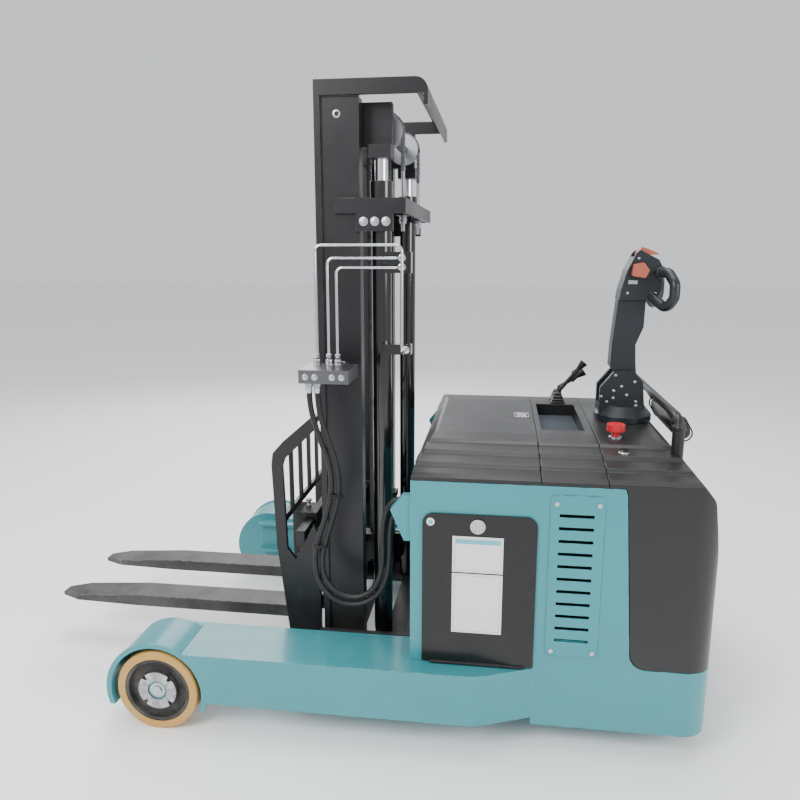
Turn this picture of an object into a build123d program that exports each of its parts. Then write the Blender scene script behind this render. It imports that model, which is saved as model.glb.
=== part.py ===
from build123d import *
import os
from math import tan, radians

# Walkie reach stacker: straddle legs, sliding two-stage mast, tilting fork frame, tiller and fold-up platform.
# Millimetres. X runs from the forks (minus) to the operator (plus), Y across, Z up from the floor.
# While modelling, X is measured from the load wheels' axle. save() moves the origin to the middle of the
# overall length. Left is the -Y side.

# ---------------------------------------------------------------- driving dimensions
OVERALL_WIDTH = 1270.0          # across the outer faces of the two legs
LEG_WIDTH = 168.0
LEG_TOP = 253.0
LEG_BOTTOM = 101.0
LEG_WALL = 10.0
LEG_TAPER_START = 930.0         # the outer wall starts to run in towards the body here
BODY_WIDTH = 1140.0
BODY_FRONT = 745.0
BODY_REAR = 1576.0
BODY_TOP = 788.0
SKIRT_BOTTOM = 80.0
SHEET = 6.0                     # body sheet steel
REAR_CORNER_R = 75.0
WHEEL_DIA = 250.0               # load wheel
WHEEL_WIDTH = 90.0
TREAD = 25.0
FENDER_R = 150.0
FENDER_WALL = 10.0
FENDER_LOW = 75.0               # the fender wraps down to this height
AXLE_R = 25.0
RUN_GAP = 0.05                  # radial clearance of a shaft in its bore
COVER_GAP = 1.0                 # between a cover and what it stands on or beside
COVER_WALL = 5.0
COWL_LOW = 274.0                # lower edge of the rear cowl
COWL_SEAM = 2.0                 # seam between the rear cowl and the sheet steel
COWL_CORNER_R = 45.0
COVER_RISE = 64.0               # from the body's top edge to the covers' flat top
FRONT_COVER_END = 1095.0
TRAY_COVER_END = 1270.0
DOOR_X = (779.0, 1090.0)
DOOR_Z = (258.0, 700.0)
DOOR_THICK = 4.0
VENT_X = (1122.0, 1262.0)
VENT_Z = (300.0, 765.0)
SLOT_PITCH = 36.1
SLOT_COUNT = 11
MAST_FRONT = 446.0
RAIL_DEPTH = 125.0
MAST_HALF = 350.0               # half width over the outer rails' webs
MAST_TOP = 1862.0
RAIL_TOP = 1817.0
BOW_BACK = 764.0                # rear face of the top bow
BOW_LOW = 1790.0
TIE_BACK = 704.0                # rear face of the middle bow
TIE_Z = (1503.0, 1545.0)
LIFT_CYLINDER_X = 626.0
LIFT_CYLINDER_Y = 300.0
LIFT_BARREL_R = 29.0
LIFT_BARREL_WALL = 5.0
LIFT_ROD_R = 19.0
LIFT_BARREL_TOP = 1594.0
CROSSHEAD_LOW = 1656.0          # the lift rods push up here
RAIL_FOOT = 112.0
REACH_STROKE = 480.0
LIFT_STROKE = 1100.0
LOWER_STROKE = 60.0             # the stored mast stands this much above its bottom stop
FORK_LENGTH = 880.0
FORK_WIDTH = 100.0
FORK_THICK = 42.0
FORK_CENTRE = 150.0             # from the middle to each fork's middle
FORK_TOP = 200.0
SHANK_FRONT = 302.0
SHANK_TOP = 542.0
BAR_THICK = 30.0
FRAME_HALF = 338.0              # half width over the fork frame's side plates
FRAME_PLATE = 16.0
STEER_X = 1385.0
DRIVE_WHEEL_R = 115.0
DRIVE_WHEEL_WIDTH = 75.0
CASTER_X = 1400.0
CASTER_Y = 270.0
CASTER_R = 62.5
CASTER_TRAIL = 35.0
DECK_Z = (330.0, 345.0)         # plate that carries the drive unit and the casters
TILLER_PIVOT_Z = 965.0
COLUMN_R = 30.0                 # steering column, through the cowl
COLUMN_HOLE_R = 62.0
TILLER_FOOT_R = 92.0            # the steering head's round foot covers the hole
LOOP_DIA = 32.0                 # tiller's loop handles
PLATFORM_X = (1594.0, 1634.0)
PLATFORM_Z = (135.0, 560.0)
PLATFORM_HALF = 250.0
HOOP_X = 1478.0
HOOP_HALF = 380.0
HOOP_TOP = 941.0
HOOP_POST_R = 17.0
HOOP_TUBE_R = 12.0
PAD_LOW = (1545.0, 848.0)       # the lean pad's lower and upper roundings
PAD_HIGH = (1530.0, 875.0)
PAD_R = 25.0
PAD_HALF = 182.0
ROLLER_R = 52.5
REACH_CYLINDER_Y = 385.0
REACH_CYLINDER_Z = 150.0
BARREL_R = 30.0                 # reach cylinders
BARREL_WALL = 5.0
REACH_ROD_R = 15.0
CARRIAGE_BACK = 724.0           # rear face of the mast's carriage
TRACK_X = (-40.0, 742.0)
HOSE_DIA = 16.0
LINE_DIA = 8.0

# ---------------------------------------------------------------- worked-out dimensions
HALF = OVERALL_WIDTH / 2
LEG_IN = HALF - LEG_WIDTH
BODY_HALF = BODY_WIDTH / 2
WHEEL_Z = WHEEL_DIA / 2
FORK_TIP = SHANK_FRONT - FORK_LENGTH
X_MID = (FORK_TIP + PLATFORM_X[1]) / 2
LEG_END = LEG_TAPER_START + (HALF - BODY_HALF) * 2.45
COVER_TOP = BODY_TOP + COVER_RISE
TRACK_MID = (LEG_TOP + LEG_BOTTOM) / 2
RAIL_BACK = MAST_FRONT + RAIL_DEPTH
BAR_FRONT = SHANK_FRONT + FORK_THICK + 1


# ---------------------------------------------------------------- helpers
def block(x0, x1, y0, y1, z0, z1):
    return Pos((x0 + x1) / 2, (y0 + y1) / 2, (z0 + z1) / 2) * Box(x1 - x0, y1 - y0, z1 - z0)


def rod(start, end, radius):
    """Round bar between two points."""
    a, b = Vector(*start), Vector(*end)
    bar = Cylinder(radius, (b - a).length, align=(Align.CENTER, Align.CENTER, Align.MIN))
    return Plane(origin=a, z_dir=b - a) * bar


def rod_y(x, z, y0, y1, radius):
    return rod((x, y0, z), (x, y1, z), radius)


def rod_z(x, y, z0, z1, radius):
    return rod((x, y, z0), (x, y, z1), radius)


def slab_xz(points, y0, y1, corner=0, rounded=()):
    """Plate cut to an outline in X and Z, from y0 to y1, with some of its corners rounded."""
    face = make_face(Polyline(*[(x, y0, z) for x, z in points], close=True))
    if corner:
        picked = [v for v in face.vertices() if any(abs(v.X - points[i][0]) < 0.01
                  and abs(v.Z - points[i][1]) < 0.01 for i in rounded)]
        face = fillet(picked, corner)
    return extrude(face, amount=y1 - y0, dir=(0, 1, 0))


def slab_xy(points, z0, z1):
    return extrude(make_face(Polyline(*[(x, y, z0) for x, y in points], close=True)), amount=z1 - z0, dir=(0, 0, 1))


def slab_yz(points, x0, x1):
    return extrude(make_face(Polyline(*[(x0, y, z) for y, z in points], close=True)), amount=x1 - x0, dir=(1, 0, 0))


def mirrored(shape):
    return mirror(shape, about=Plane.XZ)


def both_sides(shape):
    """A piece and its mirror image, joined where they touch."""
    return shape + mirrored(shape)


def pair(shape):
    """A piece and its mirror image as two separate solids."""
    return Compound(children=[shape, mirrored(shape)])


def tube_along(points, diameter, radii):
    """Tube of straight runs joined by tangent arcs."""
    path = FilletPolyline(*points, radius=radii)
    section = Plane(origin=points[0], z_dir=Vector(*points[1]) - Vector(*points[0])) * Circle(diameter / 2)
    return sweep(section, path=path)


def cord_radii(points):
    """Arc at each corner of a cord: as large as its two runs allow."""
    spots = [Vector(*p) for p in points]
    radii = []
    for before, corner, after in zip(spots, spots[1:], spots[2:]):
        run_in, run_out = corner - before, after - corner
        turn = run_in.get_angle(run_out)
        radii.append(0.45 * min(run_in.length, run_out.length) / tan(radians(turn / 2)))
    return radii


def save(name, shape):
    os.makedirs("parts", exist_ok=True)
    export_step(Pos(-X_MID, 0, 0) * shape, f"parts/{name}.step")


# ---------------------------------------------------------------- legs, fenders and load wheels
def outrigger():
    """Left leg: box beam, wheel fender with its inner plate and stub axle, and the reach track."""
    outline = [(0, -HALF), (LEG_TAPER_START, -HALF), (LEG_END, -BODY_HALF), (LEG_END, -LEG_IN), (0, -LEG_IN)]
    hollow = [(FENDER_R + LEG_WALL, -HALF + LEG_WALL), (LEG_TAPER_START - 2, -HALF + LEG_WALL),
              (LEG_END + 1, -BODY_HALF + LEG_WALL), (LEG_END + 1, -LEG_IN - LEG_WALL),
              (FENDER_R + LEG_WALL, -LEG_IN - LEG_WALL)]
    wheel_well = rod_y(0, WHEEL_Z, -HALF - 1, -LEG_IN + 1, FENDER_R - FENDER_WALL)
    leg = slab_xy(outline, LEG_BOTTOM, LEG_TOP) - slab_xy(hollow, LEG_BOTTOM + LEG_WALL, LEG_TOP - LEG_WALL)
    leg -= block(-1, FENDER_R * 0.5, -HALF - 1, 0, 0, LEG_TOP + 1)
    fender = rod_y(0, WHEEL_Z, -HALF, -LEG_IN, FENDER_R)
    fender += rod_y(0, WHEEL_Z, -HALF, -HALF + 8, FENDER_R + 5)
    plate = rod_y(0, WHEEL_Z, -LEG_IN - 12, -LEG_IN, FENDER_R - 1)
    body = leg + fender - wheel_well + plate
    body -= block(-FENDER_R - 9, FENDER_R - 3, -HALF - 1, 0, -60, FENDER_LOW)
    axle = rod_y(0, WHEEL_Z, -HALF + 21, -LEG_IN - 6, AXLE_R)
    axle += rod_y(0, WHEEL_Z, -LEG_IN - 30, -LEG_IN - 12, AXLE_R + 13)
    axle += rod_y(0, WHEEL_Z, -HALF + 11, -HALF + 21, AXLE_R + 3)
    return body + axle + reach_track()


def reach_track():
    """Channel on the leg's inner face, open towards the mast."""
    low, high = TRACK_MID - ROLLER_R - 12.5, TRACK_MID + ROLLER_R + 12.5
    channel = block(*TRACK_X, -LEG_IN, -LEG_IN + 42, low, high)
    return channel - block(TRACK_X[0] - 1, TRACK_X[1] + 1, -LEG_IN + 12, -LEG_IN + 43, low + 12, high - 12)


def load_tyre():
    outer = -HALF + 7
    tread = rod_y(0, WHEEL_Z, outer, outer + WHEEL_WIDTH, WHEEL_Z)
    tread = fillet(tread.edges().filter_by(GeomType.CIRCLE), 6)
    return tread - rod_y(0, WHEEL_Z, -HALF, -LEG_IN, WHEEL_Z - TREAD)


def load_hub():
    """Dished wheel centre with its bearing boss and the ring-shaped cap with four notches."""
    outer, rim = -HALF + 7, WHEEL_Z - TREAD
    hub = rod_y(0, WHEEL_Z, outer + 2, outer + WHEEL_WIDTH - 2, rim)
    hub -= rod_y(0, WHEEL_Z, outer - 1, outer + 20, rim - 10)
    hub -= rod_y(0, WHEEL_Z, outer + 46, outer + WHEEL_WIDTH, rim - 10)
    hub += rod_y(0, WHEEL_Z, outer + 16, outer + WHEEL_WIDTH - 4, AXLE_R + 20)
    cap = rod_y(0, WHEEL_Z, outer + 1, outer + 20, 60)
    for angle in range(45, 360, 90):
        notch = Pos(0, outer + 4, WHEEL_Z) * Rot(0, angle, 0) * Pos(60, 0, 0) * Box(26, 14, 18)
        cap -= notch
    hub = hub + cap
    hub -= rod_y(0, WHEEL_Z, -HALF, -LEG_IN, AXLE_R + RUN_GAP)
    return hub - rod_y(0, WHEEL_Z, -HALF, -HALF + 22, AXLE_R + 4)


# ---------------------------------------------------------------- body
def cowl_outline(inset):
    """Side view of the rear cowl. inset thins its top and rear walls."""
    back, top, base = BODY_REAR - inset, COVER_TOP - inset, BODY_TOP + COVER_GAP
    return [(TRAY_COVER_END + COVER_GAP, base), (1314, base), (1320, 768), (1353, COWL_LOW), (back, COWL_LOW),
            (back, 560), (back - 32, 760), (back - 105, top), (TRAY_COVER_END + COVER_GAP, top)]


def cowl_opening():
    """What the rear cowl leaves free in the sheet steel, with a seam all round."""
    low = COWL_LOW - COWL_SEAM
    outline = [(1314 - COWL_SEAM, BODY_TOP), (1320 - COWL_SEAM, 768), (1353 - COWL_SEAM, low), (BODY_REAR + 9, low),
               (BODY_REAR + 9, BODY_TOP + 9), (1314 - COWL_SEAM, BODY_TOP + 9)]
    return slab_xz(outline, -BODY_HALF - 1, BODY_HALF + 1, COWL_CORNER_R + COWL_SEAM, (2,))


def cover_section(inset, drop):
    """Front view of the covers: three low steps up from each side to the flat top."""
    steps = [(BODY_HALF, 0), (BODY_HALF, 11), (BODY_HALF - 22, 18), (BODY_HALF - 68, 24), (BODY_HALF - 78, 33),
             (BODY_HALF - 143, 39), (BODY_HALF - 153, 48), (BODY_HALF - 222, 52), (BODY_HALF - 232, 60),
             (BODY_HALF - 315, COVER_RISE)]
    side = [(y - inset, BODY_TOP + rise * COVER_RISE / 64 - inset) for y, rise in steps[1:]]
    return [(BODY_HALF - inset, drop)] + side + [(-y, z) for y, z in reversed(side)] + [(-BODY_HALF + inset, drop)]


def cover_block(outline, inset, drop, rounded, radius):
    side = slab_xz(outline, -BODY_HALF, BODY_HALF, radius, rounded)
    x0, x1 = min(p[0] for p in outline), max(p[0] for p in outline)
    return side & slab_yz(cover_section(inset, drop), x0, x1)


def body_shell():
    """Teal sheet-steel sides and rear, with the door, vent and cowl openings."""
    def tub(inset):
        solid = block(BODY_FRONT - 1 * (inset > 0), BODY_REAR - inset, -BODY_HALF + inset, BODY_HALF - inset,
                      SKIRT_BOTTOM - 1 * (inset > 0), BODY_TOP + 1 * (inset > 0))
        rear = solid.edges().filter_by(Axis.Z).sort_by(Axis.X)[-2:]
        return fillet(rear, REAR_CORNER_R - inset)
    shell = tub(0) - tub(SHEET)
    shell += both_sides(block(BODY_FRONT, 1314, BODY_HALF - 30, BODY_HALF - SHEET + 1, BODY_TOP - SHEET, BODY_TOP))
    shell -= block(BODY_FRONT - 2, LEG_END, -BODY_HALF - 1, BODY_HALF + 1, 0, LEG_TOP)
    opening = [(DOOR_X[0] + 7, DOOR_Z[0] + 6), (DOOR_X[1] - 7, DOOR_Z[0] + 6), (DOOR_X[1] - 7, DOOR_Z[1] - 7),
               (DOOR_X[0] + 7, DOOR_Z[1] - 7)]
    shell -= slab_xz(opening, -BODY_HALF - 1, BODY_HALF + 1, 24, (2, 3))
    shell -= block(VENT_X[0] + 20, VENT_X[1] - 19, -BODY_HALF - 1, BODY_HALF + 1, VENT_Z[0] + 30, VENT_Z[1] - 37)
    shell -= cowl_opening()
    ear = slab_xz([(BODY_REAR - 2, 128), (1628, 128), (1633, 150), (1628, 172), (BODY_REAR - 2, 172)], 262, 272)
    ear -= rod_y(1620, 150, 260, 274, 8 + RUN_GAP)
    shell += both_sides(ear)
    for side in (-1, 1):
        for x in (VENT_X[0] + 15, VENT_X[1] - 14):
            for z in (VENT_Z[0] + 15, VENT_Z[1] - 24):
                shell -= rod_y(x, z, side * (BODY_HALF - 8), side * (BODY_HALF + 1), 3)
    return shell


def chassis_frame():
    """Floor, front bulkhead with its two gussets, divider, and the deck for the drive unit and casters."""
    inner = BODY_HALF - SHEET
    floor = block(BODY_FRONT + 10, LEG_END, -LEG_IN + 1, LEG_IN - 1, SKIRT_BOTTOM, SKIRT_BOTTOM + 8)
    floor += block(LEG_END, BODY_REAR - REAR_CORNER_R, -inner, inner, SKIRT_BOTTOM, SKIRT_BOTTOM + 8)
    floor -= rod_z(STEER_X, 0, 0, 200, 140)
    bulkhead = block(BODY_FRONT, BODY_FRONT + 10, -LEG_IN + 1, LEG_IN - 1, SKIRT_BOTTOM, LEG_TOP)
    bulkhead += block(BODY_FRONT, BODY_FRONT + 10, -inner, inner, LEG_TOP, BODY_TOP - SHEET)
    divider = block(FRONT_COVER_END + 6, FRONT_COVER_END + 12, -inner, inner, SKIRT_BOTTOM, BODY_TOP - 40)
    deck = block(FRONT_COVER_END + 12, BODY_REAR - REAR_CORNER_R, -inner, inner, *DECK_Z)
    deck -= rod_z(STEER_X, 0, 300, 400, 96)
    gusset = slab_xz([(BODY_FRONT, 611), (726, 611), (688, 700), (722, 742), (BODY_FRONT, 742)],
                     -BODY_HALF + SHEET, -BODY_HALF + 34)
    gusset -= slab_xz([(BODY_FRONT, 625), (732, 625), (700, 700), (728, 730), (BODY_FRONT, 730)],
                      -BODY_HALF + SHEET + 6, -BODY_HALF + 28)
    frame = floor + bulkhead + divider + deck + both_sides(gusset)
    for side in (-1, 1):
        frame -= rod_z(CASTER_X, side * CASTER_Y, 300, 400, 18 + RUN_GAP)
        frame -= rod_z(CASTER_X, side * CASTER_Y, 0, 200, 106)
        frame -= rod((BODY_FRONT - 1, side * REACH_CYLINDER_Y, REACH_CYLINDER_Z),
                     (FRONT_COVER_END + 20, side * REACH_CYLINDER_Y, REACH_CYLINDER_Z), BARREL_R + 1)
        frame -= rod_z(HOOP_X, side * HOOP_HALF, DECK_Z[0] - 1, DECK_Z[1] + 1, HOOP_POST_R)
    frame += hose_fitting(HOSE_END_FRONT) + hose_fitting(HOSE_END_REAR)
    return frame


def hose_fitting(end):
    """Bulkhead coupling that a hose ends in."""
    return rod((end[0], end[1], end[2]), (BODY_FRONT + 1, end[1], end[2]), HOSE_DIA / 2 + 2)


def battery():
    case = block(765, 1085, -440, 440, 186, 720)
    case = fillet(case.edges().filter_by(Axis.Z), 12)
    case -= block(800, 1050, -405, 405, 200, 680)
    for y in (-300, -100, 100, 300):
        for x in (845, 1005):
            case += rod_z(x, y, 720, 734, 22)
    return case


def power_unit():
    """Oil tank, pump motor and valve block in one bolted unit."""
    unit = block(1130, 1262, 180, 520, DECK_Z[1], 620) - block(1136, 1256, 186, 514, DECK_Z[1] + 6, 614)
    unit += block(1150, 1240, 100, 182, DECK_Z[1], 420)
    unit += rod_z(1195, 100, 400, 610, 58)
    return unit


def controller():
    box = block(1120, 1290, -430, -200, DECK_Z[1], 385)
    for y in range(-424, -205, 18):
        box += block(1124, 1286, y, y + 6, 384, 425)
    return box


def vent_panel():
    """Louvred panel that is screwed over the vent opening."""
    corners = [(VENT_X[0], VENT_Z[0]), (VENT_X[1], VENT_Z[0]), (VENT_X[1], VENT_Z[1]), (VENT_X[0], VENT_Z[1])]
    panel = slab_xz(corners, -BODY_HALF - 3, -BODY_HALF, 12, (0, 1, 2, 3))
    middle = (VENT_X[0] + VENT_X[1]) / 2
    for i in range(SLOT_COUNT):
        z = VENT_Z[0] + 47.5 + i * SLOT_PITCH
        panel -= block(middle - 47, middle + 44, -BODY_HALF - 4, -BODY_HALF + 1, z - 4.5, z + 4.5)
    for x in (VENT_X[0] + 15, VENT_X[1] - 14):
        for z in (VENT_Z[0] + 15, VENT_Z[1] - 24):
            panel -= rod_y(x, z, -BODY_HALF - 4, -BODY_HALF + 1, 3)
    return panel


def panel_screws():
    screws = []
    for side in (-1, 1):
        for x in (VENT_X[0] + 15, VENT_X[1] - 14):
            for z in (VENT_Z[0] + 15, VENT_Z[1] - 24):
                head = rod_y(x, z, side * (BODY_HALF + 3), side * (BODY_HALF + 6), 6.5)
                screws.append(head + rod_y(x, z, side * (BODY_HALF - 8), side * (BODY_HALF + 4), 3))
    return Compound(children=screws)


def battery_door():
    """Left side door, hung on a pin along its lower edge."""
    y = -BODY_HALF - 1
    corners = [(DOOR_X[0], DOOR_Z[0]), (DOOR_X[1], DOOR_Z[0]), (DOOR_X[1], DOOR_Z[1]), (DOOR_X[0], DOOR_Z[1])]
    door = slab_xz(corners, y - DOOR_THICK, y, 30, (2, 3))
    door += rod((DOOR_X[0] + 25, y - DOOR_THICK - 3, DOOR_Z[0]), (DOOR_X[1] - 25, y - DOOR_THICK - 3, DOOR_Z[0]), 4)
    return door - rod_y(930, DOOR_Z[1] - 32, y - 10, y + 1, 6 + RUN_GAP)


def door_latch():
    """Round turn handle with its spindle and tongue."""
    y, z = -BODY_HALF - 1 - DOOR_THICK, DOOR_Z[1] - 32
    handle = rod_y(930, z, y - 6, y - 0.5, 20.5) - rod_y(930, z, y - 7, y - 3, 16)
    handle += block(926, 934, y - 6, y - 2, z - 17, z + 17)
    handle += rod_y(930, z, y - 1, -BODY_HALF + 16, 6)
    return handle + block(922, 964, -BODY_HALF + SHEET + 2, -BODY_HALF + SHEET + 7, z - 9, z + 9)


def battery_cover():
    """Black front cover with stepped sides and a sloping front."""
    def solid(inset, drop):
        top = COVER_TOP - inset
        outline = [(BODY_FRONT + inset, drop), (BODY_FRONT + 3 + inset, BODY_TOP + 22), (BODY_FRONT + 32 + inset, top),
                   (FRONT_COVER_END - COVER_GAP - inset, top), (FRONT_COVER_END - COVER_GAP - inset, drop)]
        return cover_block(outline, inset, drop, (2,), 30)
    base = BODY_TOP + COVER_GAP
    cover = solid(0, base) - solid(COVER_WALL, base - 5)
    for side in (-1, 1):
        cover += rod_y(BODY_FRONT + 1, base + 6, side * 380 - 40, side * 380 + 40, 6)
    return cover - block(1035, 1075, -26, 26, COVER_TOP - 8, COVER_TOP + 1)


def cover_latch():
    return block(1038, 1072, -23, 23, COVER_TOP - 2, COVER_TOP + 3) + rod((1068, -23, COVER_TOP), (1068, 23, COVER_TOP), 3)


def tray_cover():
    """Middle cover with the tray well and the slots for the two levers."""
    def solid(inset, drop):
        x0, x1 = FRONT_COVER_END + COVER_GAP + inset, TRAY_COVER_END - COVER_GAP - inset
        return slab_yz(cover_section(inset, drop), x0, x1)
    base = BODY_TOP + COVER_GAP
    cover = solid(0, base) - solid(COVER_WALL, base - 5)
    well = block(1107, 1250, -205, 205, COVER_TOP - 48, COVER_TOP)
    cover += well
    cover -= block(1112, 1245, -200, 200, COVER_TOP - 43, COVER_TOP + 1)
    for y in LEVER_Y:
        cover -= block(1176, 1206, y - 11, y + 11, COVER_TOP - 30, COVER_TOP + 1)
    return cover


def rear_cowl():
    """Black rear cowl with openings for the steering column, hoop, stop button and key."""
    def solid(inset):
        shape = cover_block(cowl_outline(inset), inset, 270, (3, 6, 7), COWL_CORNER_R)
        plan = block(1200, BODY_REAR - inset, -BODY_HALF + inset, BODY_HALF - inset, 200, 900)
        rear = plan.edges().filter_by(Axis.Z).sort_by(Axis.X)[-2:]
        return shape & fillet(rear, REAR_CORNER_R - inset)
    cowl = solid(0)
    cowl -= solid(COVER_WALL)
    open_side = BODY_HALF - COVER_WALL
    cowl -= block(1260, 1400, -open_side, open_side, COWL_LOW - 5, BODY_TOP - 8)
    cowl -= block(1300, BODY_REAR - REAR_CORNER_R, -open_side, open_side, COWL_LOW - 5, COWL_LOW + 90)
    cowl -= rod_z(STEER_X, 0, COVER_TOP - 30, COVER_TOP + 5, COLUMN_HOLE_R)
    cowl -= rod_z(1326, -265, COVER_TOP - 40, COVER_TOP + 5, 12 + 1)
    cowl -= rod_z(1332, -390, COVER_TOP - 50, COVER_TOP + 5, 9 + 0.5)
    for side in (-1, 1):
        cowl -= rod_z(HOOP_X, side * HOOP_HALF, COVER_TOP - 80, COVER_TOP + 5, HOOP_POST_R + COVER_GAP)
    return cowl


def stop_button():
    return rod_z(1326, -265, COVER_TOP - 40, COVER_TOP + 22, 12) + rod_z(1326, -265, COVER_TOP + 20, COVER_TOP + 40, 27)


def ignition_key():
    z = COVER_TOP - 14
    return rod_z(1332, -390, z - 22, z + 5, 9) + block(1321, 1343, -393, -387, z + 4, z + 14)


LEVER_Y = (240.0, 292.0)
LEVER_FOOT = (1191.0, COVER_TOP - 12.0)


def lever(y, tip_x, tip_z):
    """Control lever: bent stem on its pin, with a grip that flares from its waist to both ends."""
    foot, neck, tip = (LEVER_FOOT[0], y, LEVER_FOOT[1]), (1200, y, COVER_TOP + 48), (tip_x, y, tip_z)
    stem = rod(foot, neck, 6) + Pos(*neck) * Sphere(7) + rod(neck, tip, 7)
    pin = rod_y(foot[0], foot[2], y - 10, y + 10, 4)
    along = Vector(*tip) - Vector(*neck)
    waist = Vector(*tip) - along.normalized() * 34
    grip = Plane(origin=waist, z_dir=along) * (Pos(0, 0, 17) * Cone(8, 15, 34) + Pos(0, 0, -12) * Cone(13, 8, 24))
    return stem + grip + Pos(*foot) * Sphere(8) + pin


# ---------------------------------------------------------------- drive unit, casters and steering
def drive_gearbox():
    """Gearbox that carries the drive wheel on one side and turns in the deck."""
    box = rod_z(STEER_X, 0, 258, 386, 92)
    box += block(STEER_X - 75, STEER_X + 75, -75, 85, 244, 262)
    box += block(STEER_X - 55, STEER_X + 55, DRIVE_WHEEL_WIDTH / 2 + 8, 85, 62, 250)
    box += rod_y(STEER_X, DRIVE_WHEEL_R, -DRIVE_WHEEL_WIDTH / 2 + 5, DRIVE_WHEEL_WIDTH / 2 + 9, 25)
    return box + rod_z(STEER_X, 0, DECK_Z[1] + 0.5, 360, 122)


def drive_wheel():
    half = DRIVE_WHEEL_WIDTH / 2
    wheel = rod_y(STEER_X, DRIVE_WHEEL_R, -half, half, DRIVE_WHEEL_R)
    wheel = fillet(wheel.edges().filter_by(GeomType.CIRCLE), 5)
    return wheel - rod_y(STEER_X, DRIVE_WHEEL_R, -half - 1, half + 1, 25 + RUN_GAP)


def drive_motor():
    return rod_z(STEER_X, 0, 386, 600, 84) + rod_z(STEER_X, 0, 600, 640, 70)


def caster_fork(y):
    fork = rod_z(CASTER_X, y, 210, 362, 18) + rod_z(CASTER_X, y, DECK_Z[1] + 0.5, 362, 27)
    fork += block(CASTER_X - 32, CASTER_X + 60, y - 34, y + 34, 200, 212)
    cheek = [(CASTER_X - 30, 206), (CASTER_X + 58, 206), (CASTER_X + CASTER_TRAIL + 16, CASTER_R - 14),
             (CASTER_X + CASTER_TRAIL - 16, CASTER_R - 14)]
    for y0 in (y - 34, y + 26):
        fork += slab_xz(cheek, y0, y0 + 8)
    return fork + rod_y(CASTER_X + CASTER_TRAIL, CASTER_R, y - 27, y + 27, 8)


def caster_wheel(y):
    wheel = rod_y(CASTER_X + CASTER_TRAIL, CASTER_R, y - 22, y + 22, CASTER_R)
    wheel = fillet(wheel.edges().filter_by(GeomType.CIRCLE), 4)
    return wheel - rod_y(CASTER_X + CASTER_TRAIL, CASTER_R, y - 23, y + 23, 8 + RUN_GAP)


def tiller_base():
    """Steering head: column, foot and the two cheeks that hold the tiller's pin."""
    cheek = [(STEER_X - 82, 870), (STEER_X - 82, 963), (STEER_X - 40, 1016), (STEER_X + 20, 1020),
             (STEER_X + 52, 985), (STEER_X + 58, 925), (STEER_X + 65, 870)]
    base = slab_xz(cheek, -50, 50, 14, (1, 2, 3, 4))
    low, step, top = COVER_TOP + COVER_GAP, 872, 902
    base += rod_z(STEER_X, 0, low, step, TILLER_FOOT_R)
    base += Pos(STEER_X, 0, (step + top) / 2) * Cone(TILLER_FOOT_R, TILLER_FOOT_R - 24, top - step)
    base -= block(STEER_X - 90, STEER_X + 90, -33, 33, 905, 1100)
    base += rod_z(STEER_X, 0, 640, low + 1, COLUMN_R)
    return base + rod_y(STEER_X, TILLER_PIVOT_Z, -49, 49, 12)


def tiller_arm():
    """Tapered arm from the pivot knuckle up to the head."""
    z = TILLER_PIVOT_Z
    side = [(STEER_X - 37, z), (STEER_X - 37, 1010), (STEER_X - 52, 1030), (STEER_X - 50, 1100), (STEER_X - 38, 1246),
            (STEER_X + 47, 1246), (STEER_X + 46, 1160), (STEER_X + 24, 1102), (STEER_X + 28, 1040), (STEER_X + 37, z)]
    arm = slab_xz(side, -32, 32) + rod_y(STEER_X, z, -32, 32, 37)
    return arm - rod_y(STEER_X, z, -33, 33, 12 + RUN_GAP)


THROTTLE_PIN = (1404.0, 1340.0)
HEAD = [(1347, 1246), (1352, 1280), (1368, 1340), (1392, 1392), (1404, 1402), (1462, 1372), (1474, 1350), (1476, 1290),
        (1462, 1246)]


def tiller_head():
    """Tiller head with a loop handle on each side."""
    head = slab_xz(HEAD, -46, 46, 8, (2, 5, 6, 7))
    loop = [(1455, -30, 1334), (1486, -80, 1332), (1500, -112, 1300), (1500, -114, 1256), (1482, -94, 1222),
            (1440, -30, 1264)]
    head += both_sides(tube_along(loop, LOOP_DIA, [24, 26, 28, 26]))
    head -= block(1385, 1480, -35, 35, 1381, 1420)
    return head - rod_y(*THROTTLE_PIN, -60, 60, 6 + RUN_GAP)


def belly_button():
    """Safety button across the tip of the head."""
    return slab_xz([(1398, 1387), (1466, 1387), (1452, 1396), (1410, 1412)], -34, 34)


def butterfly():
    wing = slab_xz([(1378, 1322), (1420, 1316), (1430, 1340), (1412, 1364), (1384, 1358)], -74, -48, 6, (0, 1, 2, 3, 4))
    return both_sides(wing) + rod_y(*THROTTLE_PIN, -60, 60, 6)


# ---------------------------------------------------------------- rear: hoop, pad and platform
def lean_hoop():
    """Hoop of round tube on two posts, with two hangers for the pad."""
    top, y = HOOP_TOP, HOOP_HALF
    path = [(HOOP_X, -y, 880), (HOOP_X, -y, top), (HOOP_X, y, top), (HOOP_X, y, 880)]
    hoop = tube_along(path, 2 * HOOP_TUBE_R, 40)
    hoop += both_sides(rod_z(HOOP_X, -y, DECK_Z[0], HOOP_TOP - 22, HOOP_POST_R))
    pad_x, pad_z = PAD_HIGH
    hanger = slab_xz([(HOOP_X - 6, top - 2), (HOOP_X + 6, top + 6), (pad_x + 5, pad_z + 6), (pad_x - 7, pad_z - 8)], 146, 154)
    return hoop + both_sides(hanger) - lean_pad(0.01)


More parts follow.
